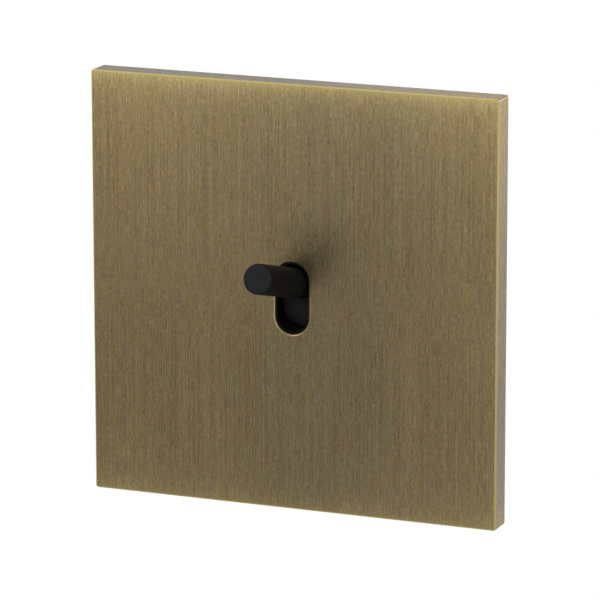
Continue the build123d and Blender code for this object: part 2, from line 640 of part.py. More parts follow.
def buffer_places():
    """Where the stops stand, just past the shield's ends at each end of the swing."""
    radius = SHIELD_RADIUS - SHIELD_THICK / 2
    clear = degrees(asin((BUFFER_RADIUS + STOP_GAP) / radius))
    angle = radians(SHIELD_HALF_ANGLE + REST_TILT + clear)
    y = PIVOT_Y - radius * cos(angle)
    return [(y, radius * sin(angle)), (y, -radius * sin(angle))]


def stop_buffers():
    """Four rubber studs in the ears that quieten the ends of the swing."""
    inner = ROCKER_HALF_WIDTH - BUFFER_REACH + EAR_SIDE_GAP
    studs = []
    for y, z in buffer_places():
        for side in (-1, 1):
            stud = rod_x(BUFFER_RADIUS, side * inner, side * EAR_OUTER_X, y, z)
            end = stud.edges().sort_by(Axis.X)[0 if side > 0 else -1]
            studs.append(fillet(end, BUFFER_EDGE))
    return Compound(studs)


def wedge(half_angle, reach):
    """A flat wedge that opens towards the room, from the pivot."""
    near = reach * cos(radians(half_angle))
    tall = reach * sin(radians(half_angle))
    return make_face(
        Polyline((0, 0), (-near, tall), (-reach, tall), (-reach, -tall), (-near, -tall), close=True)
    )


def across(outline, half_width):
    """A flat outline, drawn from the side round the pivot, made solid to both sides."""
    return extrude(Plane.YZ * outline, half_width, both=True)


def rocker():
    """The moulded rocker: round shield, cheeks, hub, the lever's seat and the finger."""
    sector = wedge(SHIELD_HALF_ANGLE, 2 * SHIELD_RADIUS)
    shield = (Circle(SHIELD_RADIUS) - Circle(SHIELD_RADIUS - SHIELD_THICK)) & sector
    body = across(shield, ROCKER_HALF_WIDTH)
    body = chamfer(body.edges().filter_by(Axis.X), SHIELD_EDGE)
    cheeks = across(Circle(SHIELD_RADIUS) & sector, ROCKER_HALF_WIDTH)
    body += cheeks - across(Circle(SHIELD_RADIUS), ROCKER_HALF_WIDTH - CHEEK_THICK)
    body += rod_x(HUB_RADIUS, -ROCKER_HALF_WIDTH - HUB_STAND_OUT, ROCKER_HALF_WIDTH + HUB_STAND_OUT)
    seat = LEVER_RADIUS + SEAT_WALL
    body += rod_y(seat, -SHIELD_RADIUS + SHIELD_THICK / 2, 0) & rod_x(
        SHIELD_RADIUS - SHIELD_THICK / 2, -ROCKER_HALF_WIDTH, ROCKER_HALF_WIDTH
    )
    finger = Polyline(
        (-FINGER_FRONT, 0),
        (FINGER_REAR, 0),
        (FINGER_REAR, -FINGER_RADIUS),
        (-FINGER_TIP_RADIUS, -FINGER_RADIUS),
        close=True,
    )
    body += across(make_face(finger), FINGER_WIDTH / 2)
    web = Polyline((0, 0), (FINGER_WEB_REAR, 0), (0, -FINGER_WEB_HEIGHT), close=True)
    body += across(make_face(web), FINGER_WEB_THICK / 2)
    body += rod_x(FINGER_TIP_RADIUS, -FINGER_WIDTH / 2, FINGER_WIDTH / 2, 0, -FINGER_RADIUS)
    body -= rod_y(LEVER_RADIUS + THREAD_GAP, -2 * SHIELD_RADIUS, -LEVER_FOOT)
    body -= rod_y(STUD_DIAMETER / 2 + THREAD_GAP, -LEVER_FOOT, -LEVER_FOOT + STUD_IN_ROCKER)
    bore = PIN_DIAMETER / 2 + PIN_RUNNING_GAP
    body -= rod_x(bore, -2 * ROCKER_HALF_WIDTH, 2 * ROCKER_HALF_WIDTH)
    return at_lever_rest(body)


def lever_rod():
    """The round lever, with a broken outer edge and a threaded foot."""
    rod = rod_y(LEVER_RADIUS, -LEVER_REACH, -LEVER_FOOT)
    rod = fillet(rod.edges().sort_by(Axis.Y)[0], LEVER_EDGE)
    hole = STUD_IN_LEVER + STUD_HOLE_SPARE
    rod -= rod_y(STUD_DIAMETER / 2 + THREAD_GAP, -LEVER_FOOT - hole, -LEVER_FOOT)
    return at_lever_rest(rod)


def lever_stud():
    """The headless screw that joins the lever to the rocker."""
    end = -LEVER_FOOT + STUD_IN_ROCKER
    stud = rod_y(STUD_DIAMETER / 2, -LEVER_FOOT - STUD_IN_LEVER, end)
    stud = chamfer(stud.edges().group_by(Axis.Y)[0], STUD_END_BREAK)
    return at_lever_rest(stud)


def pivot_pin():
    """The steel pin through both ears and the rocker, headed at one end and grooved at the other."""
    tail = EAR_OUTER_X + 2 * CLIP_SIDE_GAP + CLIP_THICK + PIN_TAIL
    pin = rod_x(PIN_DIAMETER / 2, -EAR_OUTER_X, tail, PIVOT_Y)
    pin = chamfer(pin.edges().sort_by(Axis.X)[-1], PIN_END_BREAK)
    pin += rod_x(PIN_HEAD_DIAMETER / 2, -EAR_OUTER_X - PIN_HEAD_THICK, -EAR_OUTER_X, PIVOT_Y)
    groove = rod_x(PIN_DIAMETER, EAR_OUTER_X, EAR_OUTER_X + 2 * CLIP_SIDE_GAP + CLIP_THICK, PIVOT_Y)
    pin -= groove - rod_x(GROOVE_DIAMETER / 2, -EAR_OUTER_X, tail, PIVOT_Y)
    return pin


def pin_clip():
    """The open spring clip that snaps in the pin's groove."""
    start = EAR_OUTER_X + CLIP_SIDE_GAP
    ring = rod_x(CLIP_DIAMETER / 2, start, start + CLIP_THICK, PIVOT_Y)
    ring -= rod_x(GROOVE_DIAMETER / 2 + THREAD_GAP, start, start + CLIP_THICK, PIVOT_Y)
    half = CLIP_MOUTH / 2
    return ring - box(start, start + CLIP_THICK, PIVOT_Y - half, PIVOT_Y + half, -CLIP_DIAMETER, 0)


def housing():
    """The moulded housing: an open-fronted tray with bosses, partitions and terminal nests."""
    outline = RectangleRounded(HOUSING_WIDTH, HOUSING_HEIGHT, HOUSING_CORNER)
    tray = along_y(outline, HOUSING_FRONT_Y, HOUSING_DEPTH)
    tray = fillet(tray.faces().sort_by(Axis.Y)[-1].edges(), HOUSING_BACK_EDGE)
    hollow = RectangleRounded(
        2 * INNER_HALF_WIDTH, 2 * INNER_HALF_HEIGHT, HOUSING_CORNER - HOUSING_WALL
    )
    room = along_y(hollow, HOUSING_FRONT_Y, HOUSING_INNER_Y)
    tray -= room
    walls = Part()
    for x, z in corners(SCREW_X, SCREW_Z):
        walls += rod_y(BOSS_DIAMETER / 2, HOUSING_FRONT_Y, HOUSING_INNER_Y, x, z)
    for side in (-1, 1):
        walls += partition(side)
        walls += terminal_nest(side)
    tray += walls & along_y(outline, HOUSING_FRONT_Y, HOUSING_DEPTH - HOUSING_BACK / 2)
    tray += rod_y(POST_DIAMETER / 2, POST_FRONT_Y, HOUSING_INNER_Y, 0, CONTACT_Z)
    bore = STEM_DIAMETER / 2 + POST_BORE_GAP
    tray -= rod_y(bore, POST_FRONT_Y, HOUSING_INNER_Y + POST_BORE_DEEPER, 0, CONTACT_Z)
    for x, z in corners(SCREW_X, SCREW_Z):
        radius = MECH_SCREW_DIAMETER / 2 + THREAD_GAP
        tray -= rod_y(radius, HOUSING_FRONT_Y, MECH_SCREW_REACH + MECH_HOLE_SPARE, x, z)
    for side in (-1, 1):
        tray -= terminal_ways(side)
        tray -= side_flutes(side)
        gauge = Pos(side * BLOCK_X, STRIP_GAUGE_Z) * upright_slot(STRIP_GAUGE_WIDTH, STRIP_GAUGE_LENGTH)
        tray -= along_y(gauge, HOUSING_DEPTH - STRIP_GAUGE_DEPTH, HOUSING_DEPTH)
    panel = RectangleRounded(BACK_PANEL_WIDTH, BACK_PANEL_HEIGHT, BACK_PANEL_CORNER)
    return tray - along_y(panel, HOUSING_DEPTH - BACK_PANEL_DEPTH, HOUSING_DEPTH)


def side_flutes(side):
    """Shallow round-bottomed flutes along the outside of one side wall."""
    x = side * HOUSING_WIDTH / 2
    start = HOUSING_FRONT_Y + SIDE_FLUTE_START
    end = HOUSING_DEPTH - SIDE_FLUTE_END
    half = SIDE_FLUTE_WIDTH / 2
    radius = (half**2 + SIDE_FLUTE_DEPTH**2) / (2 * SIDE_FLUTE_DEPTH)
    flutes = Part()
    for step in range(SIDE_FLUTE_COUNT):
        z = (step - (SIDE_FLUTE_COUNT - 1) / 2) * SIDE_FLUTE_PITCH
        flutes += rod_y(radius, start, end, x + side * (radius - SIDE_FLUTE_DEPTH), z)
    return flutes


def partition(side):
    """The wall between the contacts and one terminal, notched for the contact strip."""
    x0, x1 = sorted((side * PARTITION_X, side * (PARTITION_X + PARTITION_THICK)))
    wall = box(x0, x1, DECK_BACK_Y, HOUSING_INNER_Y, -INNER_HALF_HEIGHT, INNER_HALF_HEIGHT)
    half = BRIDGE_HEIGHT / 2 + BLOCK_GAP
    notch_back = STRIP_Y + STRIP_THICK + BLOCK_GAP
    return wall - box(x0, x1, DECK_BACK_Y, notch_back, CONTACT_Z - half, CONTACT_Z + half)


def terminal_nest(side):
    """The two ribs that a terminal block sits between."""
    x0, x1 = sorted((side * (PARTITION_X + PARTITION_THICK), side * INNER_HALF_WIDTH))
    near = BLOCK_HEIGHT / 2 + BLOCK_GAP
    far = near + NEST_RIB
    front = BLOCK_FRONT_Y - NEST_RIB_AHEAD
    upper = box(x0, x1, front, HOUSING_INNER_Y, CONTACT_Z + near, CONTACT_Z + far)
    return upper + box(x0, x1, front, HOUSING_INNER_Y, CONTACT_Z - far, CONTACT_Z - near)


def terminal_ways(side):
    """The way in for a wire from below, and the way to its screw from behind."""
    x = side * BLOCK_X
    floor = -HOUSING_HEIGHT / 2
    way = rod_z(WIRE_ENTRY / 2, floor, CONTACT_Z, x, WIRE_Y)
    funnel = Pos(x, WIRE_Y, floor + WIRE_FUNNEL / 2) * Cone(
        WIRE_ENTRY / 2 + WIRE_FUNNEL, WIRE_ENTRY / 2, WIRE_FUNNEL
    )
    radius = TERMINAL_HEAD_DIAMETER / 2 + TERMINAL_HOLE_GAP
    access = rod_y(radius, HOUSING_INNER_Y, HOUSING_DEPTH, x, CONTACT_Z)
    rim = radius + TERMINAL_DISH_WIDTH
    dish = cone_y(radius, rim, HOUSING_DEPTH - TERMINAL_DISH_DEPTH, HOUSING_DEPTH, x, CONTACT_Z)
    return way + funnel + access + dish


def mechanism_screws():
    """Four pan screws through yoke and cover into the housing's bosses."""
    screws = []
    for x, z in corners(SCREW_X, SCREW_Z):
        top = YOKE_FRONT_Y - MECH_HEAD_THICK
        head = rod_y(MECH_HEAD_DIAMETER / 2, top, YOKE_FRONT_Y, x, z)
        head = fillet(head.edges().group_by(Axis.Y)[0], MECH_HEAD_EDGE)
        head -= cross_recess(top, x, z, MECH_CROSS, 1)
        shank = rod_y(MECH_SCREW_DIAMETER / 2, YOKE_FRONT_Y, MECH_SCREW_REACH, x, z)
        screws.append(head + chamfer(shank.edges().group_by(Axis.Y)[-1], MECH_TIP_BREAK))
    return Compound(screws)


def contact_deck():
    """The insulating plate that guides the plunger and holds the terminals down."""
    half_width = INNER_HALF_WIDTH - DECK_EDGE_GAP
    half_height = SCREW_Z - BOSS_DIAMETER / 2 - DECK_HALF_HEIGHT_INSET
    deck = along_y(
        RectangleRounded(2 * half_width, 2 * half_height, DECK_CORNER), DECK_FRONT_Y, DECK_BACK_Y
    )
    post = DECK_POST_SIZE / 2
    for side in (-1, 1):
        x = side * BLOCK_X
        deck += box(x - post, x + post, DECK_BACK_Y, BLOCK_FRONT_Y, CONTACT_Z - post, CONTACT_Z + post)
    reach = PARTITION_X - DECK_RIB_END_GAP
    rib = DECK_RIB_THICK / 2
    for z in DECK_RIB_Z:
        deck += box(-reach, reach, DECK_BACK_Y, DECK_BACK_Y + DECK_RIB_HEIGHT, z - rib, z + rib)
    half_x = PLUNGER_WIDTH / 2 + PLUNGER_GUIDE_GAP
    half_z = PLUNGER_HEIGHT / 2 + PLUNGER_GUIDE_GAP
    end = DECK_BACK_Y + GUIDE_LENGTH
    outer_x = half_x + GUIDE_WALL
    outer_z = half_z + GUIDE_WALL
    deck += box(-outer_x, outer_x, DECK_BACK_Y, end, CONTACT_Z - outer_z, CONTACT_Z + outer_z)
    return deck - box(-half_x, half_x, DECK_FRONT_Y, end, CONTACT_Z - half_z, CONTACT_Z + half_z)


def plunger():
    """The sliding push piece, with a pad in front, a window for the bridge and a stem behind."""
    half_x = PLUNGER_WIDTH / 2
    half_z = PLUNGER_HEIGHT / 2
    nose_y = PLUNGER_FRONT_Y + PAD_LENGTH
    body = box(-half_x, half_x, nose_y, PLUNGER_BACK_Y, CONTACT_Z - half_z, CONTACT_Z + half_z)
    body = chamfer(body.edges().filter_by(Axis.X).group_by(Axis.Y)[0], NOSE_BREAK)
    pad = PAD_HEIGHT / 2
    push = box(-half_x, half_x, PLUNGER_FRONT_Y, nose_y + NOSE_BREAK, CONTACT_Z - pad, CONTACT_Z + pad)
    body += fillet(push.edges().filter_by(Axis.X).group_by(Axis.Y)[0], PAD_EDGE)
    window = WINDOW_HEIGHT / 2
    body -= box(-half_x, half_x, WINDOW_FRONT_Y, BRIDGE_BACK_Y, CONTACT_Z - window, CONTACT_Z + window)
    seat_back = PLUNGER_BACK_Y + SPRING_SEAT_HEIGHT
    body += rod_y(SPRING_SEAT_DIAMETER / 2, PLUNGER_BACK_Y, seat_back, 0, CONTACT_Z)
    return body + rod_y(STEM_DIAMETER / 2, PLUNGER_BACK_Y, STEM_BACK_Y, 0, CONTACT_Z)


def contact_bridge():
    """The sprung blade in the plunger's window, waisted there, with a stud for its spring."""
    blade = RectangleRounded(2 * BRIDGE_HALF_LENGTH, BRIDGE_HEIGHT, BRIDGE_CORNER)
    notch = Rectangle(BRIDGE_WAIST_LENGTH, (BRIDGE_HEIGHT - BRIDGE_WAIST_HEIGHT) / 2)
    middle = (BRIDGE_HEIGHT + BRIDGE_WAIST_HEIGHT) / 4
    for side in (-1, 1):
        blade -= Pos(0, side * middle) * notch
    bridge = Pos(0, 0, CONTACT_Z) * along_y(blade, BRIDGE_FRONT_Y, BRIDGE_BACK_Y)
    stud_front = BRIDGE_FRONT_Y - BRIDGE_STUD_HEIGHT
    return bridge + rod_y(BRIDGE_STUD_DIAMETER / 2, stud_front, BRIDGE_FRONT_Y, 0, CONTACT_Z)


def contact_tip(x, base, out):
    """A silver contact button on a blade. out is 1 where it faces the back."""
    y0, y1 = sorted((base, base + out * TIP_THICK))
    tip = rod_y(TIP_DIAMETER / 2, y0, y1, x, CONTACT_Z)
    edge = tip.edges().group_by(Axis.Y)[-1 if out > 0 else 0]
    return chamfer(edge, TIP_EDGE)


def bridge_tips():
    return Compound([contact_tip(side * TIP_X, BRIDGE_BACK_Y, 1) for side in (-1, 1)])


def fixed_tips():
    return Compound([contact_tip(side * TIP_X, STRIP_Y, -1) for side in (-1, 1)])


def fixed_contact(side):
    """The brass strip from one fixed tip to its terminal, bent back along the block."""
    end = BLOCK_INNER_X
    profile = Polyline(
        (STRIP_INNER_X, STRIP_Y),
        (end, STRIP_Y),
        (end, STRIP_BACK_Y),
        (end - STRIP_THICK, STRIP_BACK_Y),
        (end - STRIP_THICK, STRIP_Y + STRIP_THICK),
        (STRIP_INNER_X, STRIP_Y + STRIP_THICK),
        close=True,
    )
    strip = extrude(make_face(profile), BRIDGE_HEIGHT / 2, both=True)
    bend = strip.edges().filter_by(Axis.Z).sort_by_distance((end, STRIP_Y, 0))[0]
    strip = Pos(0, 0, CONTACT_Z) * fillet(bend, STRIP_BEND)
    return strip if side > 0 else mirror(strip, Plane.YZ)


def terminal_block(side):
    """A brass block with a way through for the wire and a threaded hole from behind."""
    half_x = BLOCK_WIDTH / 2
    half_z = BLOCK_HEIGHT / 2
    x = side * BLOCK_X
    low = CONTACT_Z - half_z
    block = box(x - half_x, x + half_x, BLOCK_FRONT_Y, HOUSING_INNER_Y, low, CONTACT_Z + half_z)
    block = chamfer(block.edges().filter_by(Axis.Z), BLOCK_EDGE)
    block -= rod_z(WIRE_BORE / 2, low, CONTACT_Z + half_z, x, WIRE_Y)
    bore = WIRE_BORE / 2
    block -= Pos(x, WIRE_Y, low + BLOCK_ENTRY_BREAK / 2) * Cone(
        bore + BLOCK_ENTRY_BREAK, bore, BLOCK_ENTRY_BREAK
    )
    return block - rod_y(TERMINAL_SCREW_DIAMETER / 2 + THREAD_GAP, WIRE_Y, HOUSING_INNER_Y, x, CONTACT_Z)


def terminal_screw(side):
    """A cheese-head screw in the back of a block, standing open for a wire."""
    x = side * BLOCK_X
    tip = WIRE_Y + WIRE_BORE / 2 + TERMINAL_TIP_GAP
    seat = HOUSING_INNER_Y + TERMINAL_SCREW_OUT
    end = seat + TERMINAL_HEAD_THICK
    screw = rod_y(TERMINAL_SCREW_DIAMETER / 2, tip, seat, x, CONTACT_Z)
    screw += rod_y(TERMINAL_HEAD_DIAMETER / 2, seat, end, x, CONTACT_Z)
    slot = Box(TERMINAL_HEAD_DIAMETER, TERMINAL_SLOT_DEPTH, TERMINAL_SLOT_WIDTH)
    return screw - Pos(x, end - TERMINAL_SLOT_DEPTH / 2, CONTACT_Z) * slot


def coil(radius, wire, length, turns, start):
    """A round-wire compression spring along Y from start, on the plunger's line."""
    height = length - wire
    path = Helix(height / turns, height, radius)
    section = Plane(path @ 0, z_dir=path % 0) * Circle(wire / 2)
    spring = sweep(section, path, is_frenet=True)
    return Pos(0, start + wire / 2, CONTACT_Z) * Rot(-90, 0, 0) * spring


def contact_spring():
    return coil(
        CONTACT_SPRING_RADIUS,
        CONTACT_SPRING_WIRE,
        CONTACT_SPRING_LENGTH,
        CONTACT_SPRING_TURNS,
        WINDOW_FRONT_Y,
    )


def return_spring():
    length = HOUSING_INNER_Y - PLUNGER_BACK_Y
    return coil(RETURN_SPRING_RADIUS, RETURN_SPRING_WIRE, length, RETURN_SPRING_TURNS, PLUNGER_BACK_Y)


SUB_PARTS = {
    "face_plate": face_plate,
    "plate_carrier": plate_carrier,
    "carrier_screws": carrier_screws,
    "yoke": yoke,
    "earth_washer": earth_washer,
    "earth_screw": earth_screw,
    "front_cover": front_cover,
    "stop_buffers": stop_buffers,
    "lever_rod": lever_rod,
    "lever_stud": lever_stud,
    "rocker": rocker,
    "pivot_pin": pivot_pin,
    "pin_clip": pin_clip,
    "housing": housing,
    "mechanism_screws": mechanism_screws,
    "contact_deck": contact_deck,
    "plunger": plunger,
    "contact_bridge": contact_bridge,
    "bridge_tips": bridge_tips,
    "fixed_tips": fixed_tips,
    "fixed_contact_left": lambda: fixed_contact(-1),
    "fixed_contact_right": lambda: fixed_contact(1),
    "terminal_block_left": lambda: terminal_block(-1),
    "terminal_block_right": lambda: terminal_block(1),
    "terminal_screw_left": lambda: terminal_screw(-1),
    "terminal_screw_right": lambda: terminal_screw(1),
    "contact_spring": contact_spring,
    "return_spring": return_spring,
}

os.makedirs("parts", exist_ok=True)
for name, make in SUB_PARTS.items():
    export_step(make(), f"parts/{name}.step")
print("pivot", (0, round(PIVOT_Y, 4), 0), "plunger travel", round(PLUNGER_TRAVEL, 4))
print("slot", round(SLOT_WIDTH, 3), "by", round(SLOT_HEIGHT, 3))
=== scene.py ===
"""Looks of a flush wall push switch that is worked by a short round lever.

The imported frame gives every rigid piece. This file gives each piece its finish, winds the two
coil springs, cuts the threads that show, and sets up the floor, the soft light and the camera.
Lengths inside finishes and screws are millimetres, and lengths of meshes are metres.
"""

import logging
import math
from contextlib import contextmanager
from dataclasses import dataclass
from enum import Enum
from functools import cache, cached_property
from typing import Callable, Iterator, Sequence

import bpy
from mathutils import Euler, Matrix, Vector


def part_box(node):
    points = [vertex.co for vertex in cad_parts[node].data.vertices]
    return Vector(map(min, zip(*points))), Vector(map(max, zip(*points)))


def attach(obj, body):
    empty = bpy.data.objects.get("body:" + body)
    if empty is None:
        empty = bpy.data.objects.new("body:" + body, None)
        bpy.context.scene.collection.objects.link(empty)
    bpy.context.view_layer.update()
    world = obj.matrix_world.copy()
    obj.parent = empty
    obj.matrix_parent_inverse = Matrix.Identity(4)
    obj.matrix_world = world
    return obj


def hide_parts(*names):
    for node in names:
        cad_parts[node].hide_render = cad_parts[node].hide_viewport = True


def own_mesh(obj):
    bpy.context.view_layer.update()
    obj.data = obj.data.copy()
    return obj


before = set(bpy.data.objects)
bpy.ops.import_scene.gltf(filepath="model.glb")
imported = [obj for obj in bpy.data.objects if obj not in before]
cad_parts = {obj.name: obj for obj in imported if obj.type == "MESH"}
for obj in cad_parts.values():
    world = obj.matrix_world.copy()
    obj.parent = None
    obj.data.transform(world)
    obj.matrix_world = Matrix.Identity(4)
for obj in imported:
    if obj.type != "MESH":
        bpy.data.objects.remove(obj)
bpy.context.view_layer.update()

LOG = logging.getLogger("switch")
Colour = tuple[float, float, float, float]
Place = tuple[float, float, float]
Fade = tuple[float, float]
Socket = bpy.types.NodeSocket
Node = bpy.types.Node
Tree = bpy.types.NodeTree
Material = bpy.types.Material
Piece = bpy.types.Object
MM = 0.001
# Points nearer to each other than this, in metres, are merged.
MERGE = 0.000001
# Neighbouring faces are made one where they turn by less than this, in radians.
FLAT = 0.0005
# A cut takes points nearer to its plane than this, in metres, as lying on it.
CUT = 1e-9


def shade(red: int, green: int, blue: int) -> Colour:
    """Turns a colour as it is seen on a screen into the linear colour that a shader takes.

    Args:
        red: Red from 0 to 255.
        green: Green from 0 to 255.
        blue: Blue from 0 to 255.

    Returns:
        The linear colour with full cover.
    """
    levels = (red / 255, green / 255, blue / 255)
    return (*(c / 12.92 if c <= 0.04045 else ((c + 0.055) / 1.055) ** 2.4 for c in levels), 1.0)


class Axis(Enum):
    """An axis, as the index of a coordinate."""

    X = 0
    Y = 1
    Z = 2


class Body(Enum):
    """The rigid bodies of the switch."""

    BASE = "base"
    LEVER = "lever"
    PLUNGER = "plunger"


@dataclass
class Graph:
    """A node tree with short ways to add and join nodes."""

    tree: Tree

    def add(self, kind: str, **settings: object) -> Node:
        """Adds a node.

        Args:
            kind: The node's class name without the leading ShaderNode.
            **settings: Properties to set on the node.

        Returns:
            The new node.
        """
        node = self.tree.nodes.new("ShaderNode" + kind)
        for key, value in settings.items():
            setattr(node, key, value)
        return node

    def put(self, value: object, socket: Socket) -> None:
        """Links a socket to an input, or sets the input's own value.

        Args:
            value: An output socket, a number, a colour or a vector.
            socket: The input.
        """
        if isinstance(value, Socket):
            self.tree.links.new(value, socket)
        else:
            socket.default_value = value

    def feed(self, node: Node, **inputs: object) -> Node:
        """Feeds a node's inputs by their names.

        Args:
            node: The node.
            **inputs: Values by the input's name, with _ for a space.

        Returns:
            The same node.
        """
        for name, value in inputs.items():
            self.put(value, node.inputs[name.replace("_", " ")])
        return node

    def run(self, kind: str, values: Sequence[object], **settings: object) -> Socket:
        """Adds a node and feeds its inputs in their order.

        Args:
            kind: The node's class name without the leading ShaderNode.
            values: The values.
            **settings: Properties to set on the node.

        Returns:
            Its first output.
        """
        node = self.add(kind, **settings)
        for value, socket in zip(values, node.inputs):
            self.put(value, socket)
        return node.outputs[0]

    def math(self, how: str, *values: object) -> Socket:
        """Works out numbers, such as by MULTIPLY."""
        return self.run("Math", values, operation=how)

    def times(self, a: object, b: object) -> Socket:
        """Multiplies two numbers."""
        return self.math("MULTIPLY", a, b)

    def line(self, value: object, slope: object, start: object) -> Socket:
        """Gives value * slope + start."""
        return self.math("MULTIPLY_ADD", value, slope, start)

    def vector(self, how: str, *values: object) -> Socket:
        """Works out vectors, such as by MULTIPLY."""
        return self.run("VectorMath", values, operation=how)

    def scale(self, vector: object, factor: object) -> Socket:
        """Scales a vector or a colour by a number."""
        node = self.add("VectorMath", operation="SCALE")
        return self.feed(node, Vector=vector, Scale=factor).outputs[0]

    def length(self, vector: object) -> Socket:
        """Gives a vector's length."""
        return self.feed(self.add("VectorMath", operation="LENGTH"), Vector=vector).outputs["Value"]

    def split(self, vector: object) -> tuple[Socket, ...]:
        """Gives a vector's three parts."""
        return tuple(self.feed(self.add("SeparateXYZ"), Vector=vector).outputs)

    def join(self, x: object, y: object, z: object) -> Socket:
        """Makes a vector from three parts."""
        return self.run("CombineXYZ", (x, y, z))

    def facing(self, which: str = "Normal") -> tuple[Socket, ...]:
        """Gives the three parts of the surface's direction."""
        return self.split(self.add("NewGeometry").outputs[which])

    def millimetres(self) -> Socket:
        """Gives the place on the object in millimetres."""
        return self.scale(self.add("TexCoord").outputs["Object"], 1 / MM)

    def fades(self, distance: object, layers: Sequence[Fade]) -> Socket:
        """Adds up values that die away with distance.

        Args:
            distance: The distance.
            layers: For each, its value at no distance and where about a third of it is left.

        Returns:
            Their sum.
        """
        total = 0.0
        for height, reach in layers:
            share = self.math("EXPONENT", self.math("DIVIDE", distance, -reach))
            total = self.line(share, height, total)
        return total

    def noise(self, vector: object, scale: float, detail: float, rough: float) -> Socket:
        """Gives a noise pattern, about 0.5 on the average, with so many finer layers as its detail."""
        node = self.add("TexNoise", noise_dimensions="3D")
        return self.feed(node, Vector=vector, Scale=scale, Detail=detail, Roughness=rough).outputs[0]

    def ramp(self, value: object, low: float, high: float, out_low: float = 0.0, out_high: float = 1.0,
             smooth: bool = True) -> Socket:
        """Maps low to high on another range and holds it there, eased in and out where smooth."""
        return self.run("MapRange", (value, low, high, out_low, out_high), clamp=True,
                        interpolation_type="SMOOTHSTEP" if smooth else "LINEAR")

    def mix(self, amount: object, a: object, b: object) -> Socket:
        """Mixes two colours.

        Args:
            amount: Share of the second colour.
            a: First colour.
            b: Second colour.

        Returns:
            The mixed colour.
        """
        node = self.add("Mix", data_type="RGBA", blend_type="MIX", clamp_factor=True)
        for value, number in ((amount, 0), (a, 6), (b, 7)):
            self.put(value, node.inputs[number])
        return node.outputs[2]

    def bump(self, height: object, distance: float, strength: float) -> Socket:
        """Bends the normal by a height pattern, whose full step is a distance in metres."""
        return self.feed(self.add("Bump"), Strength=strength, Distance=distance, Height=height).outputs[0]

    def group(self, tree: Tree, **inputs: object) -> Node:
        """Adds a shared group and feeds its inputs."""
        return self.feed(self.add("Group", node_tree=tree), **inputs)


def fresh(owner: Material | bpy.types.World) -> Graph:
    """Gives a material or a world an empty node tree.

    Args:
        owner: The material or world.

    Returns:
        The tree's graph.
    """
    owner.use_nodes = True
    owner.node_tree.nodes.clear()
    return Graph(owner.node_tree)


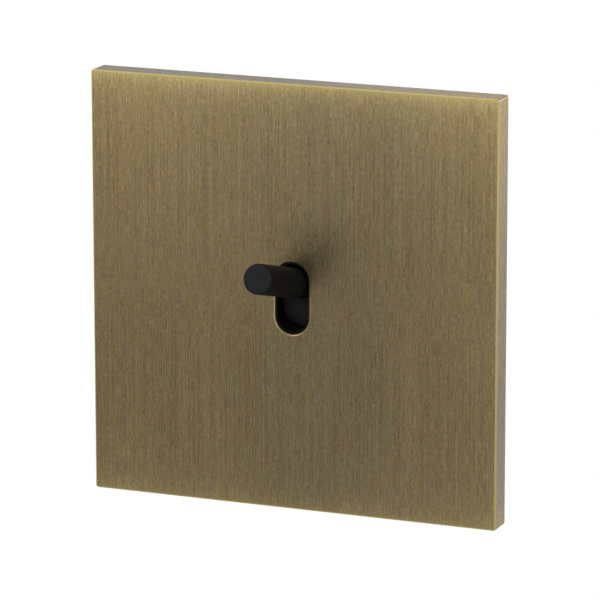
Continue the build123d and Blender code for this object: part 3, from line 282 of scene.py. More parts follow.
class Effects:
    """The shader groups that the finishes share, each made when it is first used."""

    def _start(self, name: str, takes: Sequence[str], gives: Sequence[str]) -> tuple[Graph, Node, Node]:
        """Starts a group that takes a place and numbers, and gives numbers.

        Args:
            name: The group's name.
            takes: The names of the numbers that it takes.
            gives: The names of those that it gives.

        Returns:
            The graph, the input node and the output node.
        """
        tree = bpy.data.node_groups.new(name, "ShaderNodeTree")
        tree.interface.new_socket("Place", in_out="INPUT", socket_type="NodeSocketVector")
        for way, labels in (("INPUT", takes), ("OUTPUT", gives)):
            for label in labels:
                tree.interface.new_socket(label, in_out=way, socket_type="NodeSocketFloat")
        return Graph(tree), tree.nodes.new("NodeGroupInput"), tree.nodes.new("NodeGroupOutput")

    @cached_property
    def brush(self) -> Tree:
        """Straight brush strokes that run upright on walls and lengthwise on level edges.

        Returns:
            A group from a place in millimetres to a tone, a hue, a cast and slow clouds, all about 0.
        """
        # Width, reach, layer of the pattern, detail and weight of the strokes in each output.
        layers = {
            "Tone": ((0.14, 0.78, 0.0, 0.0, 0.7), (0.14, 3.0, 3.0, 0.0, 0.62),
                     (0.14, 6.3, 5.0, 0.0, 0.36), (0.14, 45.0, 7.0, 1.0, 0.82)),
            "Hue": ((0.75, 1.3, 11.0, 0.0, 1.0), (0.7, 5.5, 13.0, 1.0, 0.7),
                    (0.65, 45.0, 19.0, 1.0, 0.72)),
            "Cast": ((0.65, 0.95, 23.0, 0.0, 0.88), (0.65, 5.0, 29.0, 0.0, 0.5),
                     (0.65, 45.0, 31.0, 1.0, 0.42)),
            "Cloud": ((9.0, 30.0, 17.0, 2.0, 1.0),),
        }
        g, source, sink = self._start("brush strokes", (), tuple(layers))
        x, y, z = g.split(source.outputs["Place"])
        level = g.ramp(g.math("ABSOLUTE", g.facing("True Normal")[2]), 0.6, 0.8)
        side = g.math("ADD", g.times(x, g.math("SUBTRACT", 1.0, level)), y)
        run = g.math("ADD", z, g.times(x, level))
        for output, strokes in layers.items():
            total = 0.0
            for width, reach, layer, detail, weight in strokes:
                spot = g.join(g.math("DIVIDE", side, width), layer, g.math("DIVIDE", run, reach))
                centred = g.math("SUBTRACT", g.noise(spot, 1.0, detail, 0.5), 0.5)
                total = g.line(centred, weight, total)
            g.put(total, sink.inputs[output])
        return g.tree

    @cached_property
    def square_edge(self) -> Tree:
        """How far a place is inside the edge of a square plate.

        Returns:
            A group from a place and the half width to that distance, all in millimetres.
        """
        g, source, sink = self._start("distance to edge", ["Half"], ["Distance"])
        x, _, z = g.split(source.outputs["Place"])
        out = g.math("MAXIMUM", g.math("ABSOLUTE", x), g.math("ABSOLUTE", z))
        g.feed(sink, Distance=g.math("SUBTRACT", source.outputs["Half"], out))
        return g.tree

    @cached_property
    def slot_edge(self) -> Tree:
        """How far a place is outside an upright slot with round ends.

        Returns:
            A group from a place, the slot's radius and its straight half to that distance.
        """
        g, source, sink = self._start("distance to slot", ["Radius", "Straight"], ["Distance"])
        x, _, z = g.split(source.outputs["Place"])
        past = g.math("SUBTRACT", g.math("ABSOLUTE", z), source.outputs["Straight"])
        away = g.length(g.join(x, g.math("MAXIMUM", past, 0.0), 0.0))
        g.feed(sink, Distance=g.math("SUBTRACT", away, source.outputs["Radius"]))
        return g.tree

    @cached_property
    def grain(self) -> Tree:
        """The fine spark texture of a mould, with slow changes of tone.

        Returns:
            A group from a place and a size to a height and a tone.
        """
        g, source, sink = self._start("mould grain", ["Size"], ["Height", "Tone"])
        place, size = source.outputs["Place"], source.outputs["Size"]
        near = g.vector("DIVIDE", place, g.join(size, size, size))
        fine = g.noise(near, 1.0, 2.0, 0.6)
        pits = g.noise(near, 0.37, 1.0, 0.5)
        slow = g.noise(place, 0.09, 2.0, 0.6)
        g.feed(sink, Height=g.math("ADD", g.times(fine, 0.7), g.times(pits, 0.3)),
               Tone=g.math("ADD", g.times(slow, 0.6), g.times(fine, 0.4)))
        return g.tree

    @cached_property
    def dust(self) -> Tree:
        """Where a little dust lies: on faces that look up, in loose patches.

        Returns:
            A group from a place to a mask.
        """
        g, source, sink = self._start("settled dust", (), ["Mask"])
        up = g.ramp(g.facing()[2], 0.35, 0.95)
        patch = g.ramp(g.noise(source.outputs["Place"], 0.35, 4.0, 0.65), 0.42, 0.72)
        specks = g.ramp(g.noise(source.outputs["Place"], 6.0, 1.0, 0.5), 0.6, 0.72)
        cover = g.math("ADD", g.times(patch, 0.6), g.times(specks, 0.4))
        g.feed(sink, Mask=g.times(up, cover))
        return g.tree


EFFECTS = Effects()


@dataclass
class Skin(Graph):
    """The graph of a material with its principled shader, ready to be fed."""

    material: Material
    shader: Node
    place: Socket

    @classmethod
    def start(cls, name: str, **even: object) -> "Skin":
        """Makes a material that has only its shader.

        Args:
            name: The material's name.
            **even: Even values of the shader's inputs by their names, with _ for a space.

        Returns:
            The new skin.
        """
        material = bpy.data.materials.new(name)
        g = fresh(material)
        shader = g.feed(g.add("BsdfPrincipled"), **even)
        g.feed(g.add("OutputMaterial"), Surface=shader.outputs[0])
        return cls(g.tree, material, shader, g.millimetres())

    def done(self, **inputs: object) -> Material:
        """Feeds the shader and gives the material."""
        self.feed(self.shader, **inputs)
        return self.material


class Finish:
    """What a piece's surface is made of."""

    def material(self) -> Material:
        """Builds the finish; every kind has its own way."""
        raise NotImplementedError


@cache
def made(finish: Finish) -> Material:
    """Gives the material of a finish, which is built only once."""
    return finish.material()


@dataclass(frozen=True)
class BrushedBronze(Finish):
    """Antique bronze, brushed upright, with worn bare edges, and with painted light and shade on its
    faces.

    Painted light and wear that die away from an edge are given as their strength there and their reach.
    """

    warm: Colour = shade(118, 99, 62)
    cool: Colour = shade(105, 96, 80)
    rubbed_and_lit: Colour = shade(112, 101, 67)
    # Painted light: the sides and the top have colours of their own, and lighter colours that they turn
    # to.
    side: Colour = shade(146, 137, 123)
    side_lit: Colour = shade(178, 161, 124)
    top: Colour = shade(152, 146, 131)
    top_lit: Colour = shade(176, 160, 133)
    bare: Colour = shade(176, 160, 104)
    painted_highlight: Colour = shade(198, 182, 130)
    half_size: float = 42.5
    front: float = 5.5
    edge_break: float = 0.25
    slot_radius: float = 3.6
    slot_straight: float = 3.655
    slot_break: float = 0.2
    # Where the upright band of painted shade is centred across the plate, and its width.
    shade_band_at: float = 9.0
    shade_band_width: float = 20.0
    # Fades of painted light on the front and on the sides, of the worn rim, and of a painted highlight.
    top_light_fade: tuple[Fade, ...] = ((0.32, 2.0), (0.26, 20.0))
    foot_light_fade: tuple[Fade, ...] = ((0.12, 2.0), (0.08, 9.0))
    right_light_fade: tuple[Fade, ...] = ((0.06, 1.2), (0.015, 14.0))
    rim_yellow: tuple[Fade, ...] = ((0.6, 0.8),)
    side_top_light: tuple[Fade, ...] = ((1.05, 24.0),)
    side_foot_light: tuple[Fade, ...] = ((0.6, 8.0),)
    highlight_fade: tuple[Fade, ...] = ((0.9, 45.0),)

    def material(self) -> Material:
        """Builds the finish.

        Returns:
            The material of the face plate.
        """
        g = Skin.start("antique bronze", Metallic=1.0, Roughness=0.4, Anisotropic=0.35,
                       Specular_Tint=(0.6, 0.6, 0.6, 1.0))
        x, _, z = g.split(g.place)
        tone, hue, cast, cloud = g.group(EFFECTS.brush, Place=g.place).outputs
        across, forward, up = g.facing("True Normal")
        is_front = g.ramp(g.times(forward, -1.0), 0.8, 0.9)
        is_top = g.ramp(g.math("ABSOLUTE", up), 0.8, 0.9)
        edge = g.group(EFFECTS.square_edge, Place=g.place, Half=self.half_size).outputs[0]
        # Painted light lightens the front towards its top, foot and right edge; painted shade darkens an
        # upright band right of the middle; the front is also darker low on the left.
        front_light, darkening, middle = self._painted_light_and_shade(g, x, z)
        # The band of painted shade is also painted cooler.
        base = g.line(middle, 0.19, 0.415)
        coolness = g.line(tone, 0.2, g.line(hue, 0.8, base))
        face = g.mix(g.ramp(coolness, 0.0, 1.0, smooth=False), self.warm, self.cool)
        # The front turns yellower where it is painted lighter towards its edges, and along the worn rim.
        yellow = g.line(front_light, 1.5, g.fades(edge, self.rim_yellow))
        face = g.mix(yellow, face, self.rubbed_and_lit)
        # Painted light: the sides are lighter towards the plate's top and foot, and the top is lighter
        # towards the right.
        side = g.mix(self._upright(g, z, self.side_top_light, self.side_foot_light), self.side, self.side_lit)
        top = g.mix(g.ramp(x, -5.0, 45.0, smooth=False), self.top, self.top_lit)
        colour = g.mix(is_front, g.mix(is_top, side, top), face)
        tint = g.join(g.line(cast, -0.12, 1.0), g.line(cast, 0.155, 1.0), 1.0)
        colour = g.vector("MULTIPLY", colour, tint)
        light = g.line(cloud, 0.1, g.line(tone, 0.5, 1.0))
        # The painted light and shade scale the front's lightness.
        lightness_scale = g.line(is_front, g.math("ADD", front_light, darkening), 1.0)
        colour = g.scale(colour, g.math("POWER", g.times(light, lightness_scale), 2.2))
        # Worn bare edges, and a painted highlight along the upright edges.
        rims, painted_highlight = self._rims(g, edge)
        colour = g.mix(painted_highlight, g.mix(rims, colour, self.bare), self.painted_highlight)
        # Painted shade: the broken edges between the sides and the top and foot are darkened.
        corner_shade = g.math("MINIMUM", g.math("ABSOLUTE", across), g.math("ABSOLUTE", up))
        colour = g.scale(colour, g.ramp(corner_shade, 0.4, 0.6, 1.0, 0.38))
        rough = g.line(tone, 0.12, 0.42)
        return g.done(Base_Color=colour, Roughness=rough, Normal=g.bump(tone, 0.000012, 0.5))

    def _upright(self, g: Graph, z: Socket, top: Sequence[Fade], foot: Sequence[Fade]) -> Socket:
        """Adds up the painted light that fades down from the plate's top and up from its foot."""
        upper = g.fades(g.math("SUBTRACT", self.half_size, z), top)
        return g.math("ADD", upper, g.fades(g.math("ADD", self.half_size, z), foot))

    def _painted_light_and_shade(self, g: Graph, x: Socket, z: Socket) -> tuple[Socket, Socket, Socket]:
        """Works out the painted light and shade on the front.

        Args:
            g: The material's graph.
            x: Place across.
            z: Place upwards.

        Returns:
            The painted light that lightens the front towards its top, foot and right edge; the loss from
            a band of painted shade right of the middle and from a darkening low on the left; and the mask
            of that band.
        """
        in_right = g.math("SUBTRACT", self.half_size, x)
        gain = g.math("ADD", self._upright(g, z, self.top_light_fade, self.foot_light_fade),
                      g.fades(in_right, self.right_light_fade))
        # Painted shade: an upright band right of the middle, and a darkening low on the left.
        off = g.math("DIVIDE", g.math("SUBTRACT", x, self.shade_band_at), self.shade_band_width)
        middle = g.math("EXPONENT", g.times(g.times(off, off), -1.0))
        low_left = g.times(g.ramp(z, 15.0, -20.0), g.ramp(x, 12.0, -12.0))
        loss = g.line(low_left, -0.04, g.line(middle, -0.07, 0.035))
        return gain, loss, middle

    def _rims(self, g: Skin, edge: Socket) -> tuple[Socket, Socket]:
        """Finds the broken edges that are worn to bare metal, and paints a highlight along the upright
        edges.

        Args:
            g: The material's graph.
            edge: How far a place is inside the plate's edge.

        Returns:
            A mask of the bare edges and one of the painted highlight, which is brightest at the top and
            spreads round the upright edges.
        """
        x, y, z = g.split(g.place)
        slot = g.group(EFFECTS.slot_edge, Place=g.place, Radius=self.slot_radius,
                       Straight=self.slot_straight).outputs[0]
        near = g.math("MAXIMUM", g.ramp(edge, self.edge_break + 0.05, self.edge_break),
                      g.ramp(slot, self.slot_break + 0.05, self.slot_break, 0.0, 0.8))
        depth = self.edge_break - self.front
        worn = g.times(near, g.ramp(y, depth + 0.1, depth))
        # Painted highlight: on the front of the upright edges, fading down from the top.
        on_side = g.ramp(g.math("ABSOLUTE", x), self.half_size - 0.3, self.half_size - 0.15)
        upper = g.fades(g.math("SUBTRACT", self.half_size, z), self.highlight_fade)
        spread = g.ramp(y, depth + 0.9, depth)
        return worn, g.times(g.times(on_side, upper), spread)


@dataclass(frozen=True)
class MattePaint(Finish):
    """Dead matte black coating with a fine orange-peel grain; its forward face, the flat end, is painted
    lighter and cooler as if lit from the front.
    """

    deep: Colour = shade(20, 20, 19)
    cool: Colour = shade(26, 27, 29)
    peel: Colour = shade(40, 40, 41)

    def material(self) -> Material:
        """Builds the finish.

        Returns:
            The material of the lever.
        """
        g = Skin.start("matte black coating", Roughness=0.58, Specular_IOR_Level=0.1)
        height, tone = g.group(EFFECTS.grain, Place=g.place, Size=0.09).outputs
        # Painted light: faces that look forward, such as the flat end, take the lighter, cooler colour.
        end = g.ramp(g.times(g.facing()[1], -1.0), 0.75, 0.95)
        colour = g.mix(end, self.deep, self.cool)
        colour = g.mix(g.ramp(tone, 0.35, 0.65, 0.0, 0.12), colour, self.peel)
        rough = g.ramp(height, 0.3, 0.7, 0.5, 0.66)
        return g.done(Base_Color=colour, Roughness=rough, Normal=g.bump(height, 0.00001, 0.6))


@dataclass(frozen=True)
class Moulding(Finish):
    """A moulded plastic with a spark-eroded grain and a little settled dust."""

    name: str
    colour: Colour
    pale: Colour
    roughness: float = 0.5
    specular: float = 0.4
    grain: float = 0.12
    relief: float = 0.000012
    dust: float = 0.25
    dust_colour: Colour = shade(150, 147, 140)

    def material(self) -> Material:
        """Builds the finish.

        Returns:
            The moulding's material.
        """
        g = Skin.start(self.name, Roughness=self.roughness, Specular_IOR_Level=self.specular)
        height, tone = g.group(EFFECTS.grain, Place=g.place, Size=self.grain).outputs
        dust = g.group(EFFECTS.dust, Place=g.place).outputs[0]
        colour = g.mix(g.ramp(tone, 0.3, 0.7), self.colour, self.pale)
        colour = g.mix(g.times(dust, self.dust), colour, self.dust_colour)
        rough = g.line(g.math("SUBTRACT", height, 0.5), 0.25, self.roughness)
        return g.done(Base_Color=colour, Roughness=rough, Normal=g.bump(height, self.relief, 0.7))


@dataclass(frozen=True)
class SlotShield(Finish):
    """Black moulding that closes the slot: dull, and painted paler towards its foot, which lies in shade.
    """

    dark: Colour = shade(39, 39, 38)
    pale: Colour = shade(92, 92, 90)
    start: float = -1.0
    end: float = -7.5

    def material(self) -> Material:
        """Builds the finish.

        Returns:
            The rocker's material.
        """
        g = Skin.start("black shield", Roughness=0.75, Specular_IOR_Level=0.05)
        height, tone = g.group(EFFECTS.grain, Place=g.place, Size=0.12).outputs
        # Painted light: paler towards the foot, to lift the shade that falls there inside the slot.
        foot = g.ramp(g.split(g.place)[2], self.start, self.end, smooth=False)
        colour = g.mix(g.times(foot, foot), self.dark, self.pale)
        colour = g.scale(colour, g.ramp(tone, 0.3, 0.7, 0.88, 1.12))
        return g.done(Base_Color=colour, Normal=g.bump(height, 0.000012, 0.7))


@dataclass(frozen=True)
class PlatedSteel(Finish):
    """Plated steel: a cool, slightly cloudy metal with fine rolling or tool lines."""

    name: str
    colour: Colour
    cloud: Colour
    roughness: float = 0.34
    along: Axis = Axis.Z

    def material(self) -> Material:
        """Builds the finish.

        Returns:
            The plated metal's material.
        """
        g = Skin.start(self.name, Metallic=1.0, Roughness=self.roughness)
        stretch = [3.0, 3.0, 3.0]
        stretch[self.along.value] = 0.05
        lines = g.noise(g.vector("MULTIPLY", g.place, tuple(stretch)), 1.6, 2.0, 0.6)
        cloud = g.noise(g.place, 0.16, 3.0, 0.6)
        cells = g.feed(g.add("TexVoronoi", feature="F1"), Vector=g.place, Scale=0.45)
        flake = g.split(cells.outputs["Color"])[0]
        mixed = g.math("ADD", g.times(cloud, 0.82), g.times(flake, 0.18))
        colour = g.mix(g.ramp(mixed, 0.3, 0.75), self.colour, self.cloud)
        rough = g.line(g.math("SUBTRACT", lines, 0.5), 0.3, self.roughness)
        return g.done(Base_Color=colour, Roughness=rough, Normal=g.bump(lines, 0.000002, 0.8))


@dataclass(frozen=True)
class Brass(Finish):
    """Machined or rolled copper alloy with fine tool lines and slight tarnish."""

    name: str
    colour: Colour
    tarnish: Colour
    roughness: float = 0.28
    along: Axis = Axis.X

    def material(self) -> Material:
        """Builds the finish.

        Returns:
            The alloy's material.
        """
        g = Skin.start(self.name, Metallic=1.0, Roughness=self.roughness)
        stretch = [4.0, 4.0, 4.0]
        stretch[self.along.value] = 0.08
        lines = g.noise(g.vector("MULTIPLY", g.place, tuple(stretch)), 2.0, 2.0, 0.6)
        spots = g.ramp(g.noise(g.place, 0.5, 4.0, 0.65), 0.5, 0.75, 0.0, 0.45)
        colour = g.mix(g.ramp(lines, 0.35, 0.65, 0.0, 0.3), self.colour, self.tarnish)
        colour = g.mix(spots, colour, self.tarnish)
        rough = g.line(spots, 0.2, g.line(lines, 0.16, self.roughness - 0.08))
        return g.done(Base_Color=colour, Roughness=rough, Normal=g.bump(lines, 0.000008, 0.6))


@dataclass(frozen=True)
class Rubber(Finish):
    """Soft black rubber with a dull, faintly bloomed surface."""

    deep: Colour = shade(30, 30, 30)
    bloom: Colour = shade(52, 52, 51)

    def material(self) -> Material:
        """Builds the finish.

        Returns:
            The rubber's material.
        """
        g = Skin.start("black rubber", Roughness=0.75, Specular_IOR_Level=0.25)
        height, tone = g.group(EFFECTS.grain, Place=g.place, Size=0.2).outputs
        colour = g.mix(g.ramp(tone, 0.35, 0.7), self.deep, self.bloom)
        return g.done(Base_Color=colour, Normal=g.bump(height, 0.00002, 0.7))


@dataclass(frozen=True)
class SpringWire(Finish):
    """Drawn steel wire with faint die lines."""

    colour: Colour = shade(168, 166, 160)
    dull: Colour = shade(112, 110, 105)

    def material(self) -> Material:
        """Builds the finish.

        Returns:
            The wire's material.
        """
        g = Skin.start("spring wire", Metallic=1.0, Roughness=0.3)
        fine = g.noise(g.place, 9.0, 1.0, 0.5)
        colour = g.mix(g.ramp(g.noise(g.place, 1.4, 3.0, 0.6), 0.35, 0.7), self.colour, self.dull)
        rough = g.ramp(fine, 0.3, 0.7, 0.24, 0.42)
        return g.done(Base_Color=colour, Roughness=rough, Normal=g.bump(fine, 0.000006, 0.5))


def let_go() -> None:
    """Deselects every object."""
    for item in bpy.context.selected_objects:
        item.select_set(False)
    bpy.context.view_layer.objects.active = None


def take(piece: Piece) -> None:
    """Selects one piece alone and makes it the active one.

    Args:
        piece: The piece.
    """
    let_go()
    piece.select_set(True)
    bpy.context.view_layer.objects.active = piece


def apply_place() -> None:
    """Moves the selected piece's place, turn and scale into its mesh."""
    bpy.ops.object.transform_apply(location=True, rotation=True, scale=True)


@contextmanager
def editing(piece: Piece, test: Callable[[Vector], bool] | None = None) -> Iterator[None]:
    """Opens a piece for editing with vertices, edges and faces selected, and closes it again.

    Args:
        piece: The piece, which becomes the active one.
        test: Says whether a vertex at a place is taken. Without it all are.

    Yields:
        Nothing, while the piece is open.
    """
    take(piece)
    bpy.ops.object.mode_set(mode="EDIT")
    bpy.ops.mesh.select_mode(type="VERT")
    bpy.ops.mesh.select_all(action="DESELECT" if test else "SELECT")
    if test:
        bpy.ops.object.mode_set(mode="OBJECT")
        for vertex in piece.data.vertices:
            vertex.select = test(vertex.co)
        bpy.ops.object.mode_set(mode="EDIT")
    yield
    bpy.ops.object.mode_set(mode="OBJECT")


def widen(factor: float) -> None:
    """Scales what is selected across the Z axis."""
    bpy.ops.transform.resize(value=(factor, factor, 1.0), center_override=(0.0, 0.0, 0.0))


def combine(piece: Piece, other: Piece, how: str) -> None:
    """Joins another solid to a piece or cuts it away, and throws the other one out.

    Args:
        piece: The piece that is kept.
        other: The solid that is used up.
        how: UNION, DIFFERENCE or INTERSECT.
    """
    take(piece)
    change = piece.modifiers.new("combine", "BOOLEAN")
    change.operation = how
    change.solver = "EXACT"
    change.object = other
    bpy.ops.object.modifier_apply(modifier=change.name)
    bpy.data.objects.remove(other, do_unlink=True)


@dataclass(frozen=True)
class Role:
    """What modelled pieces stand for: a CAD node, the body it rides on and the slot of its finish."""

    node: str
    body: Body
    slot: str

    def give(self, piece: Piece, finish: Finish, smooth: float) -> None:
        """Settles a modelled piece in place, finishes it and lets it stand for the node.

        Args:
            piece: The piece.
            finish: Its finish.
            smooth: Edges that turn by less than this many degrees look round.
        """
        take(piece)
        apply_place()
        with editing(piece):
            bpy.ops.mesh.remove_doubles(threshold=MERGE)
            bpy.ops.mesh.normals_make_consistent(inside=False)
        bpy.ops.object.shade_smooth_by_angle(angle=math.radians(smooth))
        piece.data.materials.clear()
        piece.data.materials.append(made(finish))
        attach(piece, self.body.value)
        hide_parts(self.node)
        LOG.info("modelled %s", piece.name)


@dataclass(frozen=True)
class Coil:
    """A compression spring along Y, with closed end turns, wound from a circle of wire."""

    name: str
    role: Role
    radius: float
    wire: float
    turns: float
    sides: int = 12
    steps: int = 28
    closed_turns: float = 0.9
    closed_pitch: float = 1.02
    smooth: float = 50.0

    def wind(self, finish: Finish) -> Piece:
        """Winds the spring in the room that its CAD solid has.

        Args:
            finish: The finish of its wire.

        Returns:
            The finished spring, riding on its body in place of that solid.
        """
        low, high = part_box(self.role.node)
        axis = Vector((0.0, 0.0, (low.z + high.z) / 2))
        let_go()
        bpy.ops.mesh.primitive_circle_add(vertices=self.sides, radius=self.wire / 2, fill_type="NGON",
                                          location=(self.radius, low.y + self.wire / 2, axis.z))
        piece = bpy.context.active_object
        piece.name = self.name
        with editing(piece):
            for rise in self._rises(high.y - low.y - self.wire):
                bpy.ops.mesh.extrude_region_move()
                bpy.ops.transform.rotate(value=math.tau / self.steps, orient_axis="Y",
                                         center_override=axis)
                bpy.ops.transform.translate(value=(0.0, rise, 0.0))
        self.role.give(piece, finish, self.smooth)
        return piece

    def _rises(self, height: float) -> list[float]:
        """Works out how far the wire climbs at each step, with a closed turn at both ends.

        Args:
            height: Climb of the wire's line from end to end.

        Returns:
            One climb for each step.
        """
        count = round(self.steps * self.turns)
        closed = round(self.steps * self.closed_turns)
        flat = self.wire * self.closed_pitch / self.steps
        steep = (height - 2 * closed * flat) / (count - 2 * closed)
        return [flat if step < closed or step >= count - closed else steep for step in range(count)]


class Head(Enum):
    """Shapes of screw heads."""

    NONE = "none"
    PAN = "pan"
    CHEESE = "cheese"
    COUNTERSUNK = "countersunk"


class Drive(Enum):
    """What a screwdriver fits in."""

    SLOT = "slot"
    CROSS = "cross"


@dataclass(frozen=True)
class Screw:
    """A screw with a cut thread, modelled upright with the underside of its head at height 0.

    A headless screw has its driver end at height 0. All sizes are millimetres. Depth, flank, crest
    and overrun are shares of the pitch, and the depth limit is one of the diameter. The neck is the
    share of the head that the shank fills.
    """

    diameter: float
    pitch: float
    length: float
    head: Head = Head.NONE
    head_diameter: float = 0.0
    head_height: float = 0.0
    head_edge: float = 0.0
    drive: Drive = Drive.SLOT
    drive_reach: float = 0.0
    drive_width: float = 0.0
    drive_depth: float = 0.0
    tip: float = 0.35
    steps: int = 28
    depth: float = 0.6
    depth_limit: float = 0.15
    flank: float = 0.36
    crest: float = 0.14
    overrun: float = 0.4
    neck: float = 0.3
    cross_taper: float = 0.6

    @property
    def top(self) -> float:
        """The height of the driver's end."""
        return self.head_height if self.head is not Head.NONE else 0.0

    def model(self) -> Piece:
        """Models the screw.

        Returns:
            The screw, standing on the origin.
        """
        body = self._thread()
        combine(body, self._blank(), "INTERSECT")
        if self.head is not Head.NONE:
            combine(body, self._head(), "UNION")
        for turn in ((0.0,) if self.drive is Drive.SLOT else (0.0, math.pi / 2)):
            combine(body, self._cutter(turn), "DIFFERENCE")
        with editing(body):
            bpy.ops.mesh.remove_doubles(threshold=MERGE)
            bpy.ops.mesh.dissolve_limited(angle_limit=FLAT, use_dissolve_boundaries=True)
        return body

    def _thread(self) -> Piece:
        """Turns the thread from one zigzag line and trims both ends square.

        Returns:
            A threaded bar that is a little longer than the shank.
        """
        depth = min(self.depth * self.pitch, self.depth_limit * self.diameter)
        root = self.diameter / 2 - depth
        foot = -self.length - self.overrun * self.pitch
        top = self.top * self.neck + self.overrun * self.pitch
        count = math.ceil((top - foot) / self.pitch) + 2
        let_go()
        # The line starts from one point, so far below that both cuts go through whole turns.
        bpy.ops.mesh.primitive_circle_add(vertices=3, radius=0.01 * MM,
                                          location=(root * MM, 0.0, (foot - 1.5 * self.pitch) * MM))
        bar = bpy.context.active_object
        apply_place()
        profile = ((depth, self.flank), (0.0, self.crest), (-depth, self.flank), (0.0, self.crest))
        with editing(bar):
            bpy.ops.mesh.merge(type="CENTER")
            for out, rise in profile * count:
                bpy.ops.mesh.extrude_region_move(
                    TRANSFORM_OT_translate={"value": (out * MM, 0.0, rise * self.pitch * MM)})
        turn = bar.modifiers.new("turn", "SCREW")
        turn.axis = "Z"
        turn.angle = math.tau
        turn.screw_offset = self.pitch * MM
        turn.steps = turn.render_steps = self.steps
        turn.use_merge_vertices = True
        turn.merge_threshold = MERGE
        bpy.ops.object.modifier_apply(modifier=turn.name)
        for height, upwards in ((foot, False), (top, True)):
            with editing(bar):
                bpy.ops.mesh.remove_doubles(threshold=MERGE)
                bpy.ops.mesh.bisect(plane_co=(0.0, 0.0, height * MM), plane_no=(0.0, 0.0, 1.0),
                                    use_fill=True, clear_inner=not upwards, clear_outer=upwards,
                                    threshold=CUT)
        with editing(bar):
            bpy.ops.mesh.normals_make_consistent(inside=False)
        return bar

    def _round(self, radius: float, foot: float, top: float) -> Piece:
        """Adds a plain round bar between two heights.

        Args:
            radius: The bar's radius.
            foot: Where it starts.
            top: Where it ends.

        Returns:
            The bar.
        """
        let_go()
        bpy.ops.mesh.primitive_cylinder_add(
            vertices=self.steps, radius=radius * MM, depth=(top - foot) * MM,
            location=(0.0, 0.0, (foot + top) / 2 * MM))
        apply_place()
        return bpy.context.active_object

    def _blank(self) -> Piece:
        """Makes the bar that a thread is cut on, chamfered at its tip.

        Returns:
            The blank.
        """
        # It is a hair wider than the thread, so that it cuts only the ends.
        blank = self._round(self.diameter / 2 + 0.001, -self.length, self.top * self.neck)
        with editing(blank, lambda place: place.z < -self.length / 2 * MM):
            bpy.ops.mesh.bevel(offset=self.tip * MM, segments=1, affect="EDGES")
        return blank

    def _head(self) -> Piece:
        """Makes the head with its rounded or broken edge.

        Returns:
            The head, without its recess.
        """
        middle = self.head_height / 2 * MM
        if self.head is Head.COUNTERSUNK:
            head = self._round(self.diameter / 2, 0.0, self.head_height)
            with editing(head, lambda place: place.z > middle):
                widen(self.head_diameter / self.diameter)
            # The cone goes on into the shank, down to four fifths of its width.
            slope = (self.head_diameter - self.diameter) / 2 / self.head_height
            with editing(head, lambda place: place.z < middle):
                widen(0.8)
                bpy.ops.transform.translate(value=(0.0, 0.0, -0.1 * self.diameter / slope * MM))
            return head
        head = self._round(self.head_diameter / 2, 0.0, self.head_height)
        with editing(head, lambda place: place.z > middle):
            bpy.ops.mesh.bevel(offset=self.head_edge * MM, segments=5 if self.head is Head.PAN else 2,
                               affect="EDGES")
        return head

    def _cutter(self, turn: float) -> Piece:
        """Makes the tool that cuts a slot, or one arm of a cross that narrows towards its foot.

        Args:
            turn: Turn of the tool about the screw.

        Returns:
            The tool in its place.
        """
        let_go()
        bpy.ops.mesh.primitive_cube_add(size=1.0, location=(0.0, 0.0, self.top * MM))
        tool = bpy.context.active_object
        tool.scale = (2 * self.drive_reach * MM, self.drive_width * MM, 2 * self.drive_depth * MM)
        tool.rotation_euler = (0.0, 0.0, turn)
        apply_place()
        if self.drive is Drive.CROSS:
            with editing(tool, lambda place: place.z < self.top * MM):
                widen(self.cross_taper)
        return tool


@dataclass(frozen=True)
class ScrewSet:
    """Equal screws that stand for one CAD node. Seats are millimetres."""

    label: str
    role: Role
    screw: Screw
    seats: tuple[Place, ...]
    toward: Place
    smooth: float = 35.0

    def build(self, finish: Finish) -> None:
        """Models one screw, copies it to every seat and puts each in place.

        Args:
            finish: The metal that they have.
        """
        first = self.screw.model()
        pieces = [first]
        for _ in self.seats[1:]:
            copy = first.copy()
            copy.data = first.data.copy()
            bpy.context.scene.collection.objects.link(copy)
            pieces.append(copy)
        way = Vector(self.toward)
        turn = Euler() if way.z > 0.99 else way.to_track_quat("Z", "Y").to_euler()
        for number, (piece, seat) in enumerate(zip(pieces, self.seats), start=1):
            piece.name = f"{self.label}_{number}" if len(self.seats) > 1 else self.label
            piece.rotation_euler = turn
            piece.location = Vector(seat) * MM
            self.role.give(piece, finish, self.smooth)


Finishes = tuple[tuple[Finish, tuple[str, ...]], ...]
Screws = tuple[tuple[ScrewSet, Finish], ...]


@dataclass
class Unit:
    """A sub-assembly: the finishes of its CAD pieces, and the screws that are cut anew."""

    finishes: Finishes = ()
    screws: Screws = ()

    def dress(self) -> None:
        """Gives each CAD piece its finish."""
        for finish, nodes in self.finishes:
            for name in nodes:
                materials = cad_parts[name].data.materials
                materials.clear()
                materials.append(made(finish))
                LOG.info("dressed %s in %s", name, made(finish).name)

    def build(self) -> None:
        """Models the screws."""
        for screws, finish in self.screws:
            screws.build(finish)


@dataclass
class FrontPlate(Unit):
    """The square metal plate that shows on the wall."""

    finishes: Finishes = ((BrushedBronze(), ("face_plate",)),)


